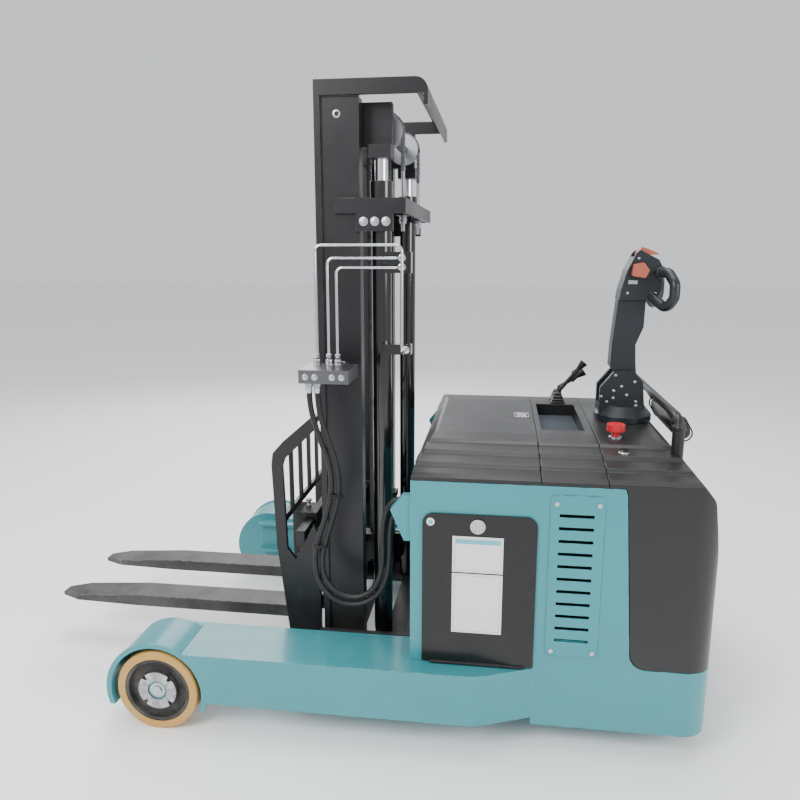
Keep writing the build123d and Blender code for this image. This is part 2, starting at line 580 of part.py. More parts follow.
def lean_pad(grow=0.0):
    end = -PAD_HALF - grow
    low, high = (PAD_LOW[0], end, PAD_LOW[1]), (PAD_HIGH[0], end, PAD_HIGH[1])
    width, radius = 2 * (PAD_HALF + grow), PAD_R + grow
    ends = [rod(p, (p[0], p[1] + width, p[2]), radius) for p in (low, high)]
    along = Vector(high[0] - low[0], 0, high[2] - low[2]).normalized()
    side = Vector(along.Z, 0, -along.X) * radius
    corners = [(p[0] + s * side.X, p[2] + s * side.Z) for p, s in ((low, 1), (low, -1), (high, -1), (high, 1))]
    return ends[0] + ends[1] + slab_xz(corners, low[1], low[1] + width)


def platform():
    """Fold-up step with its rim and the two hinge pins."""
    x0, x1 = PLATFORM_X
    z0, z1 = PLATFORM_Z
    step = slab_xz([(x0, z0), (x1, z0), (x1, z1), (x0, z1)], -PLATFORM_HALF, PLATFORM_HALF, 16, (0, 1, 2, 3))
    step -= block(x0 - 1, x0 + 26, -PLATFORM_HALF + 30, PLATFORM_HALF - 30, z0 + 50, z1 - 30)
    return step + rod_y(1620, 150, -272, 272, 8)


# ---------------------------------------------------------------- reach carriage and mast
ROLLER_X = (500.0, 660.0)


def reach_carriage():
    """Base frame of the mast: side plates, floor, rear beam and the roller stubs."""
    low, back = LEG_BOTTOM - 5, CARRIAGE_BACK
    frame = block(MAST_FRONT, back, -400, 400, low, RAIL_FOOT)
    frame -= block(MAST_FRONT - 1, 614, -252, 252, low - 1, RAIL_FOOT + 1)
    frame += both_sides(block(MAST_FRONT, back, 400, 415, low, TRACK_MID + ROLLER_R + 10))
    frame += block(back - 22, back, -400, 400, RAIL_FOOT, 205)
    for x in ROLLER_X:
        frame += both_sides(rod_y(x, TRACK_MID, 414, LEG_IN - 13, 15))
    return frame


def reach_rollers(x):
    roller = rod_y(x, TRACK_MID, 418, LEG_IN - 13, ROLLER_R - 0.5) - rod_y(x, TRACK_MID, 400, LEG_IN, 15 + RUN_GAP)
    return pair(roller)


def reach_rods():
    y, z = REACH_CYLINDER_Y, REACH_CYLINDER_Z
    piston = rod((1262, y, z), (1285, y, z), BARREL_R - BARREL_WALL - RUN_GAP)
    return pair(rod((CARRIAGE_BACK, y, z), (1285, y, z), REACH_ROD_R) + piston)


def reach_barrels():
    x0, x1, y, z = BODY_FRONT + 12, 1296, REACH_CYLINDER_Y, REACH_CYLINDER_Z
    barrel = rod((x0, y, z), (x1, y, z), BARREL_R) - rod((x0 + 24, y, z), (x1 - 8, y, z), BARREL_R - BARREL_WALL)
    return pair(barrel - rod((x0 - 1, y, z), (x0 + 30, y, z), REACH_ROD_R + RUN_GAP))


def outer_mast():
    """Two channel rails joined by the top and middle bows."""
    y, front, back = MAST_HALF, MAST_FRONT, RAIL_BACK
    rail = block(front, back, y - 50, y, RAIL_FOOT, RAIL_TOP)
    rail -= block(front + 18, back - 18, y - 51, y - 12, RAIL_FOOT - 1, RAIL_TOP + 1)
    rail += block(front - 2, front + 16, y - 10, y + 8, RAIL_FOOT, MAST_TOP)
    arm_low = MAST_TOP - 42
    top_arm = [(front - 2, MAST_TOP), (BOW_BACK, MAST_TOP), (BOW_BACK, BOW_LOW), (BOW_BACK - 12, BOW_LOW),
               (BOW_BACK - 12, arm_low), (front - 2, arm_low)]
    rail += slab_xz(top_arm, y - 4, y + 8, 36, (1,))
    tie_low, tie_high = TIE_Z
    middle_arm = [(500, tie_high), (TIE_BACK, tie_high), (TIE_BACK, tie_low), (668, tie_low), (668, tie_low - 50),
                  (561, tie_low - 50), (561, tie_low), (500, tie_low)]
    rail += slab_xz(middle_arm, y, y + 12)
    mast = both_sides(rail)
    bow = [(BOW_BACK - 50, MAST_TOP), (BOW_BACK, MAST_TOP), (BOW_BACK, BOW_LOW), (BOW_BACK - 9, BOW_LOW),
           (BOW_BACK - 9, MAST_TOP - 36), (BOW_BACK - 36, MAST_TOP - 9), (BOW_BACK - 50, MAST_TOP - 9)]
    mast += slab_xz(bow, -y - 4, y + 4, 36, (1,))
    mast += block(TIE_BACK - 12, TIE_BACK, -y - 4, y + 4, tie_low, tie_high)
    for side in (-1, 1):
        mast += block(655, TIE_BACK - 10, side * 200 - 42, side * 200 + 42, tie_low, tie_low + 14)
    return mast


SHEAVE = (624.0, 1745.0, 45.0)
CHAIN_THICK = 12.0
CHAIN_LOW = 492.0


def inner_mast():
    """Inner channel rails, lower tie, crosshead with its rear arms, and the sheaves' axle."""
    x0, x1, low, high = MAST_FRONT + 24, RAIL_BACK - 24, RAIL_FOOT + LOWER_STROKE, RAIL_TOP - 6
    rail = block(x0, x1, 256, MAST_HALF - 28, low, high)
    rail -= block(x0 + 12, x1 - 12, 255, MAST_HALF - 40, low - 1, high + 1)
    arm = block(x1 - 2, 655, 256, 290, CROSSHEAD_LOW + 34, high)
    arm += block(LIFT_CYLINDER_X - 32, LIFT_CYLINDER_X + 32, 262, LIFT_CYLINDER_Y + 34, CROSSHEAD_LOW, CROSSHEAD_LOW + 36)
    mast = both_sides(rail + arm)
    mast += block(x0 + 12, x1 - 12, -257, 257, 1690, 1780)
    mast += block(x1, x1 + 12, -290, 290, low, low + 60)
    return mast + rod_y(SHEAVE[0], SHEAVE[1], -257, 257, 14)


def chain_sheaves():
    x, z, radius = SHEAVE
    wheel = rod_y(x, z, 186, 214, radius + 6) - rod_y(x, z, 191, 209, radius + 7)
    wheel += rod_y(x, z, 187, 213, radius - 0.5)
    return pair(wheel - rod_y(x, z, 180, 220, 14 + RUN_GAP))


def lift_chains():
    """Leaf chain on each side: anchor rod and run, half turn over the sheave, and the run to the carriage."""
    x, z, radius = SHEAVE
    outer = radius + CHAIN_THICK
    turn = rod_y(x, z, 192, 208, outer) - rod_y(x, z, 190, 210, radius + 0.2)
    turn -= block(x - outer - 1, x + outer + 1, 190, 210, z - outer - 1, z)
    chain = turn + block(x + radius + 0.2, x + outer, 192, 208, 1640, z) + block(x - outer, x - radius - 0.2, 192, 208, CHAIN_LOW, z)
    middle = x + radius + CHAIN_THICK / 2
    chain += rod_z(middle, 200, 1519, 1642, 6)
    return pair(chain)


def lift_barrels():
    """Two lift cylinder barrels on the reach carriage; the left one carries the two port blocks."""
    x, y, bore = LIFT_CYLINDER_X, LIFT_CYLINDER_Y, LIFT_BARREL_R - LIFT_BARREL_WALL
    barrels = []
    for side in (-1, 1):
        barrel = rod_z(x, side * y, RAIL_FOOT, LIFT_BARREL_TOP, LIFT_BARREL_R)
        barrel += rod_z(x, side * y, LIFT_BARREL_TOP - 46, LIFT_BARREL_TOP, LIFT_BARREL_R + 4)
        if side < 0:
            for low, high in PORT_BLOCKS:
                barrel += block(x + 10, LINE_DOWN_X[0] + 14, PORT_Y, PORT_Y + 38, low, high)
        barrel -= rod_z(x, side * y, 140, LIFT_BARREL_TOP - 30, bore)
        barrels.append(barrel - rod_z(x, side * y, LIFT_BARREL_TOP - 60, LIFT_BARREL_TOP + 1, LIFT_ROD_R + RUN_GAP))
    return Compound(children=barrels)


def lift_rods():
    x, y = LIFT_CYLINDER_X, LIFT_CYLINDER_Y
    piston = rod_z(x, y, 212, 236, LIFT_BARREL_R - LIFT_BARREL_WALL - RUN_GAP)
    return pair(rod_z(x, y, 212, CROSSHEAD_LOW, LIFT_ROD_R) + piston)


LINE_Y = -440.0


def manifold():
    """Valve manifold on its bracket, with hose tails below and line nuts above."""
    body = block(437, 575, -560, -430, 1046, 1083)
    body += block(470, 540, -431, -MAST_HALF - 8, 1052, 1077)
    body -= block(420, 465, -MAST_HALF - 9, -MAST_HALF, 1000, 1100)
    for x in (HOSE_FRONT[0][0], HOSE_REAR[0][0]):
        body += rod((x, HOSE_FRONT[0][1], HOSE_FRONT[0][2]), (x, HOSE_FRONT[0][1], 1050), HOSE_DIA / 2 + 2)
    for x in LINE_X:
        body += rod_z(x, LINE_Y, 1080, 1100, 9)
    return body + block(470, 540, -MAST_HALF - 9, -MAST_HALF, 1052, 1077)


LINE_X = (460.0, 495.0, 520.0)
LINE_DOWN_X = (704.0, 692.0, 692.0)
LINE_TOP = (1414.0, 1379.0, 1353.0)
PORT_Y = -350.0                 # front face of the port blocks
PORT_BLOCKS = ((1100.0, 1130.0), (1336.0, 1396.0))


def hydraulic_lines():
    """Three bent steel lines from the manifold over to the port blocks on the left lift cylinder."""
    lines = []
    for x, down, top in zip(LINE_X, LINE_DOWN_X, LINE_TOP):
        route = [(x, LINE_Y, 1100), (x, LINE_Y, top), (down, LINE_Y, top)]
        if down == LINE_DOWN_X[0]:
            route.append((down, LINE_Y, sum(PORT_BLOCKS[0]) / 2))
        route.append((down, PORT_Y, route[-1][2]))
        lines.append(tube_along(route, LINE_DIA, 18))
    return Compound(children=lines)


# The two hoses hang in a loop between the manifold and the body's bulkhead, side by side.
HOSE_FRONT = [(448, -492, 1026), (448, -492, 968), (472, -488, 880), (505, -484, 790), (505, -482, 705), (480, -480, 622),
              (454, -478, 545), (448, -476, 490), (456, -475, 432), (484, -474, 388), (531, -474, 362), (587, -474, 364),
              (634, -474, 394), (662, -474, 444), (673, -474, 515), (673, -474, 585), (677, -474, 630), (688, -474, 660),
              (704, -474, 676), (726, -474, 676)]
HOSE_REAR = [(472, -492, 1026), (472, -492, 966), (494, -488, 882), (526, -484, 792), (527, -482, 704), (502, -480, 622),
             (478, -478, 545), (469, -476, 494), (475, -475, 444), (500, -474, 406), (538, -474, 386), (584, -474, 387),
             (622, -474, 412), (645, -474, 455), (654, -474, 515), (652, -474, 585), (657, -474, 640), (671, -474, 682),
             (696, -474, 702), (726, -474, 702)]
HOSE_END_FRONT = HOSE_FRONT[-1]
HOSE_END_REAR = HOSE_REAR[-1]


def hose(points):
    radii = cord_radii(points)
    tube = tube_along(points, HOSE_DIA, radii)
    print("hose radii", [round(r) for r in radii])
    return tube


# ---------------------------------------------------------------- lift carriage, fork frame and forks
PIVOT = (452.0, 232.0)


def lift_carriage():
    """Plates and rollers that run in the inner mast, with the chain lugs and the fork frame's pivot eyes."""
    front = PIVOT[0] - 14
    plate = block(front, 545, 225, 240, 196, 520)
    for z in (262, 480):
        plate += rod_y(508.5, z, 239, MAST_HALF - 42, 25)
    plate += block(540, 598, 186, 240, 470, CHAIN_LOW)
    plate -= rod_y(PIVOT[0], PIVOT[1], 220, 245, 12 + RUN_GAP)
    plate += block(470, 482, -1, 226, 440, 505) + block(470, 482, -1, 226, 275, 320)
    return both_sides(plate)


def tilt_cylinder():
    """Short cylinder between the carriage and the fork frame's upper bar."""
    x0 = BAR_FRONT + BAR_THICK + 18
    return rod((x0, 0, 473), (470, 0, 473), 30) + rod((BAR_FRONT + BAR_THICK + 14, 0, 473), (x0 + 5, 0, 473), 16)


def fork_frame():
    """Side plates with their curved front edge, two fork bars, the load backrest and the pivot lugs."""
    inner, outer = FRAME_HALF - FRAME_PLATE, FRAME_HALF
    shape = [(415, 905), (318, 820), (284, 782), (279, 742), (289, 476), (325, 167), (330, 130), (428, 130),
             (428, 520), (408, 550), (350, 432), (322, 470), (314, 742), (322, 765), (415, 856)]
    side = slab_xz(shape, inner, outer, 14, (1, 2, 3))
    frame = both_sides(side)
    for z0, z1 in ((215, 265), (470, SHANK_TOP - 21)):
        frame += block(BAR_FRONT, BAR_FRONT + BAR_THICK, -inner, inner, z0, z1)
    front = SHANK_FRONT
    for z0, z1 in ((550, 572), (778, 800)):
        frame += block(front, front + 12, -inner, inner, z0, z1)
    for y in (-220, -110, 0, 110, 220):
        frame += block(front, front + 12, y - 7, y + 7, 571, 779)
    frame += block(393, 405, -inner, inner, 864, 884)
    lug = block(BAR_FRONT + BAR_THICK, PIVOT[0] + 14, 206, 221, 208, 256)
    lug += rod_y(PIVOT[0], PIVOT[1], 220, 241, 12)
    return frame + both_sides(lug)


def fork(side):
    """Forged fork: tapered blade, shank and upper hook."""
    x, top = SHANK_FRONT, FORK_TOP
    y0 = side * FORK_CENTRE - FORK_WIDTH / 2
    back = x + FORK_THICK
    hook = BAR_FRONT + BAR_THICK
    outline = [(FORK_TIP, top - 20), (FORK_TIP + 300, top), (x, top), (x, SHANK_TOP), (hook + 9, SHANK_TOP),
               (hook + 9, SHANK_TOP - 40), (hook + 1, SHANK_TOP - 40), (hook + 1, SHANK_TOP - 20),
               (back, SHANK_TOP - 20), (back, top - FORK_THICK), (FORK_TIP + 300, top - FORK_THICK + 2),
               (FORK_TIP, top - 32)]
    blade = slab_xz(outline, y0, y0 + FORK_WIDTH, 20, (9,))
    nose = [(FORK_TIP, side * FORK_CENTRE - 22), (FORK_TIP + 70, y0), (back + 60, y0), (back + 60, y0 + FORK_WIDTH),
            (FORK_TIP + 70, y0 + FORK_WIDTH), (FORK_TIP, side * FORK_CENTRE + 22)]
    return blade & slab_xy(nose, 0, 1000)


# ---------------------------------------------------------------- all the pieces
def main():
    left_leg = outrigger()
    save("outrigger_left", left_leg)
    save("outrigger_right", mirrored(left_leg))
    save("body_shell", body_shell())
    save("chassis_frame", chassis_frame())
    save("battery", battery())
    save("hydraulic_power_unit", power_unit())
    save("motor_controller", controller())
    save("vent_panels", pair(vent_panel()))
    save("panel_screws", panel_screws())
    for name, piece in (("battery_door", battery_door()), ("door_latch", door_latch()), ("load_tyre", load_tyre()),
                        ("load_hub", load_hub())):
        save(name + "_left", piece)
        save(name + "_right", mirrored(piece))
    save("battery_cover", battery_cover())
    save("cover_latch", cover_latch())
    save("tray_cover", tray_cover())
    save("rear_cowl", rear_cowl())
    save("emergency_stop_button", stop_button())
    save("ignition_key", ignition_key())
    save("lift_lever", lever(LEVER_Y[0], 1282, COVER_TOP + 150))
    save("reach_lever", lever(LEVER_Y[1], 1290, COVER_TOP + 108))
    save("drive_gearbox", drive_gearbox())
    save("drive_wheel", drive_wheel())
    save("drive_motor", drive_motor())
    for name, y in (("left", -CASTER_Y), ("right", CASTER_Y)):
        save("caster_fork_" + name, caster_fork(y))
        save("caster_wheel_" + name, caster_wheel(y))
    save("tiller_base", tiller_base())
    save("tiller_arm", tiller_arm())
    save("tiller_head", tiller_head())
    save("belly_button", belly_button())
    save("throttle_butterfly", butterfly())
    save("lean_hoop", lean_hoop())
    save("lean_pad", lean_pad())
    save("stand_platform", platform())
    save("reach_carriage", reach_carriage())
    save("reach_rollers_front", reach_rollers(ROLLER_X[0]))
    save("reach_rollers_rear", reach_rollers(ROLLER_X[1]))
    save("reach_rods", reach_rods())
    save("reach_barrels", reach_barrels())
    save("outer_mast", outer_mast())
    save("inner_mast", inner_mast())
    save("chain_sheaves", chain_sheaves())
    save("lift_chains", lift_chains())
    save("lift_barrels", lift_barrels())
    save("lift_rods", lift_rods())
    save("manifold_block", manifold())
    save("hydraulic_lines", hydraulic_lines())
    save("hose_front", hose(HOSE_FRONT))
    save("hose_rear", hose(HOSE_REAR))
    save("lift_carriage", lift_carriage())
    save("tilt_cylinder", tilt_cylinder())
    save("fork_frame", fork_frame())
    save("fork_left", fork(-1))
    save("fork_right", fork(1))


main()
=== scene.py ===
from math import cos, pi, radians, sin, tau

import bmesh
import bpy
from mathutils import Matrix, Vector


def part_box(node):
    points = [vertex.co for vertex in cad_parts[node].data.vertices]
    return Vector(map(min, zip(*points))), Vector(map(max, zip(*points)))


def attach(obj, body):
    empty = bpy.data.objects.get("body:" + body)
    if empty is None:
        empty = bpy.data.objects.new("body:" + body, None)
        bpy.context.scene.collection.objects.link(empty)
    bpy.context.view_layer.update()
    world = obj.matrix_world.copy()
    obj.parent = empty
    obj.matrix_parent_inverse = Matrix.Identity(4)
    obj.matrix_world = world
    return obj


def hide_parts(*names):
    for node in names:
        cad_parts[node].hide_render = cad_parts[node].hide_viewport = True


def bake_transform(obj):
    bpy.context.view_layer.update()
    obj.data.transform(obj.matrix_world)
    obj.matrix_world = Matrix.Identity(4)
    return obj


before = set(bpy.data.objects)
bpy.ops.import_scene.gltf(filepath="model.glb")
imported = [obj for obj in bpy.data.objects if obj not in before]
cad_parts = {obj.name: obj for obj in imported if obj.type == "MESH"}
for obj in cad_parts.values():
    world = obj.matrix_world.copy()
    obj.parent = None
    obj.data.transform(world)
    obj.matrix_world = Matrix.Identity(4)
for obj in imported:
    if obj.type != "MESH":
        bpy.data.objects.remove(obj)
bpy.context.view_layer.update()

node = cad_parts
low = {name: Vector(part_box(name)[0]) for name in node}
high = {name: Vector(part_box(name)[1]) for name in node}


# ------------------------------------------------------------------ studio
# A plain pale room. The camera stands off the machine's left side at eye height and looks down a little,
# and four large soft lamps hang round the machine.
camera = bpy.data.objects.new("camera", bpy.data.cameras.new("camera"))
camera.data.lens = 32.61
camera.location = (0.446, -2.4385, 1.3942)
camera.rotation_euler = (radians(78.487), 0, radians(7.842))
bpy.context.collection.objects.link(camera)
bpy.context.scene.camera = camera


def soft_lamp(name, place, aim, size, watts):
    lamp = bpy.data.objects.new(name, bpy.data.lights.new(name, "AREA"))
    lamp.data.size = size
    lamp.data.energy = watts
    lamp.location = place
    lamp.rotation_euler = (Vector(aim) - Vector(place)).to_track_quat("-Z", "Y").to_euler()
    bpy.context.collection.objects.link(lamp)


soft_lamp("key_lamp", (-2.4, -3.8, 3.6), (0, 0, 0.7), 2.2, 230)
soft_lamp("side_lamp", (3.6, -2.4, 2.0), (0.3, 0, 0.7), 1.6, 80)
soft_lamp("top_lamp", (0.2, 0.2, 4.4), (0, 0, 0.5), 2.4, 130)
soft_lamp("back_lamp", (-1.5, 4.0, 3.2), (0, 0, 0.8), 2.4, 110)

world = bpy.data.worlds.new("pale_room")
world.use_nodes = True
world.node_tree.nodes["Background"].inputs["Color"].default_value = (0.95, 0.97, 1.0, 1)
world.node_tree.nodes["Background"].inputs["Strength"].default_value = 0.9
bpy.context.scene.world = world


def link_new(name, mesh):
    made = bpy.data.objects.new(name, mesh)
    bpy.context.collection.objects.link(made)
    return made


FLOOR_HALF = 30.0
floor_mesh = bpy.data.meshes.new("studio_floor")
floor_mesh.from_pydata([(-FLOOR_HALF, -FLOOR_HALF, 0), (FLOOR_HALF, -FLOOR_HALF, 0),
                        (FLOOR_HALF, FLOOR_HALF, 0),
                        (-FLOOR_HALF, FLOOR_HALF, 0)], [], [(0, 1, 2, 3)])
studio_floor = link_new("studio_floor", floor_mesh)
floor_paint = bpy.data.materials.new("studio_floor")
floor_paint.use_nodes = True
floor_paint.node_tree.nodes["Principled BSDF"].inputs["Base Color"].default_value = (0.95, 0.95, 0.95, 1)
floor_paint.node_tree.nodes["Principled BSDF"].inputs["Roughness"].default_value = 0.7
floor_mesh.materials.append(floor_paint)


# ------------------------------------------------------------------ hydraulic hoses
# Two rubber hoses hang side by side from the manifold on the mast to couplings in the body's front.
# On the truck they swing open as the mast reaches; here each is one fixed tube swept along a smooth line,
# and two straps hold them together on the mast's side.
def add(tree, kind, inputs=None, **settings):
    """A node with its inputs set, or linked where the value is another node's output."""
    made = tree.nodes.new(kind if "Node" in kind else "ShaderNode" + kind)
    for key, value in settings.items():
        setattr(made, key, value)
    for key, value in (inputs or {}).items():
        if isinstance(value, bpy.types.NodeSocket):
            tree.links.new(value, made.inputs[key])
        else:
            made.inputs[key].default_value = value
    return made


def new_group(name, inputs, outputs):
    """An empty shader node group, with what comes in and what goes out."""
    tree = bpy.data.node_groups.new(name, "ShaderNodeTree")
    for label, value in inputs:
        socket = tree.interface.new_socket(label, in_out="INPUT", socket_type="NodeSocketFloat")
        socket.default_value = value
    for label, kind in outputs:
        tree.interface.new_socket(label, in_out="OUTPUT", socket_type="NodeSocket" + kind)
    return tree, tree.nodes.new("NodeGroupInput").outputs, tree.nodes.new("NodeGroupOutput").inputs


def place_group(tree, group, **inputs):
    made = add(tree, "Group", node_tree=group)
    for key, value in inputs.items():
        made.inputs[key.replace("_", " ").capitalize()].default_value = value
    return made.outputs


grain_group, grain_in, grain_out = new_group(
    "grain", [("Size", 0.001), ("Stretch", 1.0)], [("Height", "Float"), ("Patches", "Float")])
grain_place = add(grain_group, "TexCoord").outputs["Object"]
grain_scale = add(grain_group, "Math", {0: 1.0, 1: grain_in["Size"]}, operation="DIVIDE").outputs[0]
grain_long = add(grain_group, "CombineXYZ", {"X": 1.0, "Y": 1.0, "Z": grain_in["Stretch"]}).outputs[0]
grain_drawn = add(grain_group, "VectorMath", {0: grain_place, 1: grain_long}, operation="MULTIPLY").outputs[0]
fine = add(grain_group, "TexNoise", {"Vector": grain_drawn, "Scale": grain_scale,
                                     "Detail": 2.0}).outputs["Fac"]
patches = add(grain_group, "TexNoise", {"Vector": grain_place, "Scale": 5.0, "Detail": 5.0, "Roughness": 0.6})
grain_group.links.new(fine, grain_out["Height"])
grain_group.links.new(patches.outputs["Fac"], grain_out["Patches"])

# Edge mask: where the rounded normal turns from the face, broken up by noise. finish() lays the worn colour
# there, as wear and as a painted highlight along the rims.
edge_group, edge_in, edge_out = new_group(
    "worn_and_highlit_edges", [("Width", 0.004), ("Breakup", 40.0)], [("Edge", "Float"), ("Round", "Vector")])
rounded = add(edge_group, "Bevel", {"Radius": edge_in["Width"]}, samples=4).outputs[0]
flat = add(edge_group, "NewGeometry").outputs["Normal"]
facing = add(edge_group, "VectorMath", {0: rounded, 1: flat}, operation="DOT_PRODUCT").outputs["Value"]
turned_away = add(edge_group, "MapRange", {"Value": facing, "From Min": 0.995, "From Max": 0.80}).outputs[0]
edge_place = add(edge_group, "TexCoord").outputs["Object"]
flecks = add(edge_group, "TexNoise", {"Vector": edge_place, "Scale": edge_in["Breakup"], "Detail": 4.0})
broken = add(edge_group, "MapRange", {"Value": flecks.outputs["Fac"], "From Min": 0.42,
                                      "From Max": 0.62}).outputs[0]
edge_group.links.new(add(edge_group, "Math", {0: turned_away, 1: broken}, operation="MULTIPLY").outputs[0],
                     edge_out["Edge"])
edge_group.links.new(rounded, edge_out["Round"])

# Dust lies on what faces up and thickens towards the floor, in uneven drifts.
dust_group, dust_in, dust_out = new_group("dust", [("Amount", 0.2)], [("Mask", "Float")])
dust_place = add(dust_group, "TexCoord").outputs["Object"]
dust_height = add(dust_group, "SeparateXYZ", {"Vector": dust_place}).outputs["Z"]
dust_low = add(dust_group, "MapRange", {"Value": dust_height, "From Min": 0.45, "From Max": 0.05}).outputs[0]
dust_face = add(dust_group, "NewGeometry").outputs["Normal"]
dust_up = add(dust_group, "SeparateXYZ", {"Vector": dust_face}).outputs["Z"]
dust_top = add(dust_group, "MapRange", {"Value": dust_up, "From Min": 0.5, "From Max": 1.0,
                                        "To Max": 0.6}).outputs[0]
dust_both = add(dust_group, "Math", {0: dust_low, 1: dust_top}, operation="ADD").outputs[0]
drifts = add(dust_group, "TexNoise", {"Vector": dust_place, "Scale": 9.0, "Detail": 8.0, "Roughness": 0.7})
drifted = add(dust_group, "MapRange", {"Value": drifts.outputs["Fac"], "From Min": 0.35,
                                       "From Max": 0.75}).outputs[0]
dust_laid = add(dust_group, "Math", {0: dust_both, 1: drifted}, operation="MULTIPLY").outputs[0]
dust_group.links.new(add(dust_group, "Math", {0: dust_laid, 1: dust_in["Amount"]},
                         operation="MULTIPLY").outputs[0],
                     dust_out["Mask"])

# Hair scratches: the thin lines where a long drawn-out noise passes its middle, in a few patches only.
scratch_group, scratch_in, scratch_out = new_group("scratches", [("Scale", 14.0), ("Width", 0.006)],
                                                   [("Mask", "Float")])
scratch_place = add(scratch_group, "TexCoord").outputs["Object"]
scratch_turned = add(scratch_group, "Mapping", {"Vector": scratch_place, "Rotation": (0.5, 0.7, 0.4),
                                                "Scale": (1.0, 6.0, 1.0)}).outputs[0]
strands = add(scratch_group, "TexNoise", {"Vector": scratch_turned, "Scale": scratch_in["Scale"],
                                          "Detail": 1.0})
off_middle = add(scratch_group, "Math", {0: strands.outputs["Fac"], 1: 0.5}, operation="SUBTRACT").outputs[0]
from_middle = add(scratch_group, "Math", {0: off_middle}, operation="ABSOLUTE").outputs[0]
thin_line = add(scratch_group, "Math", {0: from_middle, 1: scratch_in["Width"]},
                operation="LESS_THAN").outputs[0]
worked = add(scratch_group, "TexNoise", {"Vector": scratch_place, "Scale": 7.0, "Detail": 3.0})
worked_area = add(scratch_group, "MapRange", {"Value": worked.outputs["Fac"], "From Min": 0.52,
                                              "From Max": 0.64}).outputs[0]
scratch_group.links.new(add(scratch_group, "Math", {0: thin_line, 1: worked_area},
                            operation="MULTIPLY").outputs[0],
                        scratch_out["Mask"])


def finish(name, colour, worn_and_highlight_colour, rough, size, depth, edge=0.003, edge_wear_and_highlight=0.5, shade=0.12, metal=0.0, stretch=1.0,
           breakup=40.0, coat=0.0, worn_metal=0.0, worn_rough=None, dust=0.12, scratch=0.25, gloss=0.5):
    """A surface with fine grain, random patches of tone, scratches in the worn colour, edges in that colour
    as wear and as a painted highlight, and dust.
    """
    made = bpy.data.materials.new(name)
    made.use_nodes = True
    tree = made.node_tree
    shader = tree.nodes["Principled BSDF"]
    grain = place_group(tree, grain_group, size=size, stretch=stretch)
    edges = place_group(tree, edge_group, width=edge, breakup=breakup)
    marks = place_group(tree, scratch_group)
    laid = place_group(tree, dust_group, amount=dust)
    dark = tuple(channel * (1 - shade) for channel in colour) + (1,)
    light = tuple(min(1, channel * (1 + shade)) for channel in colour) + (1,)
    base = add(tree, "Mix", {"Factor": grain["Patches"], 6: dark, 7: light}, data_type="RGBA").outputs[2]
    scored = add(tree, "Math", {0: marks["Mask"], 1: scratch}, operation="MULTIPLY").outputs[0]
    # Edges take the worn colour both as rubbed wear and as a painted highlight.
    rubbed_and_highlit = add(tree, "Math", {0: edges["Edge"], 1: edge_wear_and_highlight}, operation="MULTIPLY").outputs[0]
    amount = add(tree, "Math", {0: scored, 1: rubbed_and_highlit}, operation="MAXIMUM").outputs[0]
    mixed = add(tree, "Mix", {"Factor": amount, 6: base, 7: (*worn_and_highlight_colour, 1)}, data_type="RGBA").outputs[2]
    dusty = add(tree, "Mix", {"Factor": laid["Mask"], 6: mixed, 7: (0.30, 0.28, 0.25, 1)},
                data_type="RGBA").outputs[2]
    tree.links.new(dusty, shader.inputs["Base Color"])
    spread = add(tree, "MapRange", {"Value": grain["Patches"], "From Min": 0.3, "From Max": 0.7,
                                    "To Min": rough * 0.82, "To Max": min(1, rough * 1.18)}).outputs[0]
    if worn_rough is not None:
        spread = add(tree, "Mix", {"Factor": amount, 2: spread, 3: worn_rough}).outputs[0]
    dulled = add(tree, "Mix", {"Factor": laid["Mask"], 2: spread, 3: 0.9}).outputs[0]
    tree.links.new(dulled, shader.inputs["Roughness"])
    if worn_metal:
        level = add(tree, "MapRange", {"Value": amount, "To Min": metal, "To Max": worn_metal}).outputs[0]
        tree.links.new(level, shader.inputs["Metallic"])
    else:
        shader.inputs["Metallic"].default_value = metal
    shader.inputs["Specular IOR Level"].default_value = gloss
    shader.inputs["Coat Weight"].default_value = coat
    shader.inputs["Coat Roughness"].default_value = 0.12
    bump = add(tree, "Bump", {"Height": grain["Height"], "Distance": depth, "Strength": 1.0,
                              "Normal": edges["Round"]})
    tree.links.new(bump.outputs[0], shader.inputs["Normal"])
    return made


def at(x, y, z):
    """A point given in millimetres from the load wheels' axle line, in this scene's metres."""
    return Vector((x / 1000 - MID, y / 1000, z / 1000))


def smooth_line(name, points, steps=8):
    """Points along a smooth line that the given points steer."""
    curve = bpy.data.curves.new(name, "CURVE")
    curve.dimensions = "3D"
    spline = curve.splines.new("NURBS")
    spline.points.add(len(points) - 1)
    for spot, place in zip(spline.points, points):
        spot.co = (*place, 1)
    spline.order_u = 3
    spline.use_endpoint_u = True
    spline.resolution_u = steps
    line = bpy.data.objects.new(name, curve)
    bpy.context.collection.objects.link(line)
    drawn = bpy.data.meshes.new_from_object(line.evaluated_get(bpy.context.evaluated_depsgraph_get()))
    places = [vertex.co.copy() for vertex in drawn.vertices]
    bpy.data.objects.remove(line)
    return places


def settle(piece, body, replaced=()):
    """Hides the CAD parts the piece stands in for, and hangs it on the body it moves with."""
    if replaced:
        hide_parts(*replaced)
    if body:
        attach(piece, body)
    return piece


def put(name, bm, material, body, replaced=(), smooth=True):
    """Makes the finished piece from a mesh, with its finish, its body and what it stands for."""
    bmesh.ops.remove_doubles(bm, verts=bm.verts, dist=1e-6)
    bmesh.ops.recalc_face_normals(bm, faces=bm.faces)
    mesh = bpy.data.meshes.new(name)
    bm.to_mesh(mesh)
    bm.free()
    mesh.materials.append(material)
    if smooth:
        mesh.shade_smooth()
        mesh.set_sharp_from_angle(angle=radians(35))
    return settle(link_new(name, mesh), body, replaced)


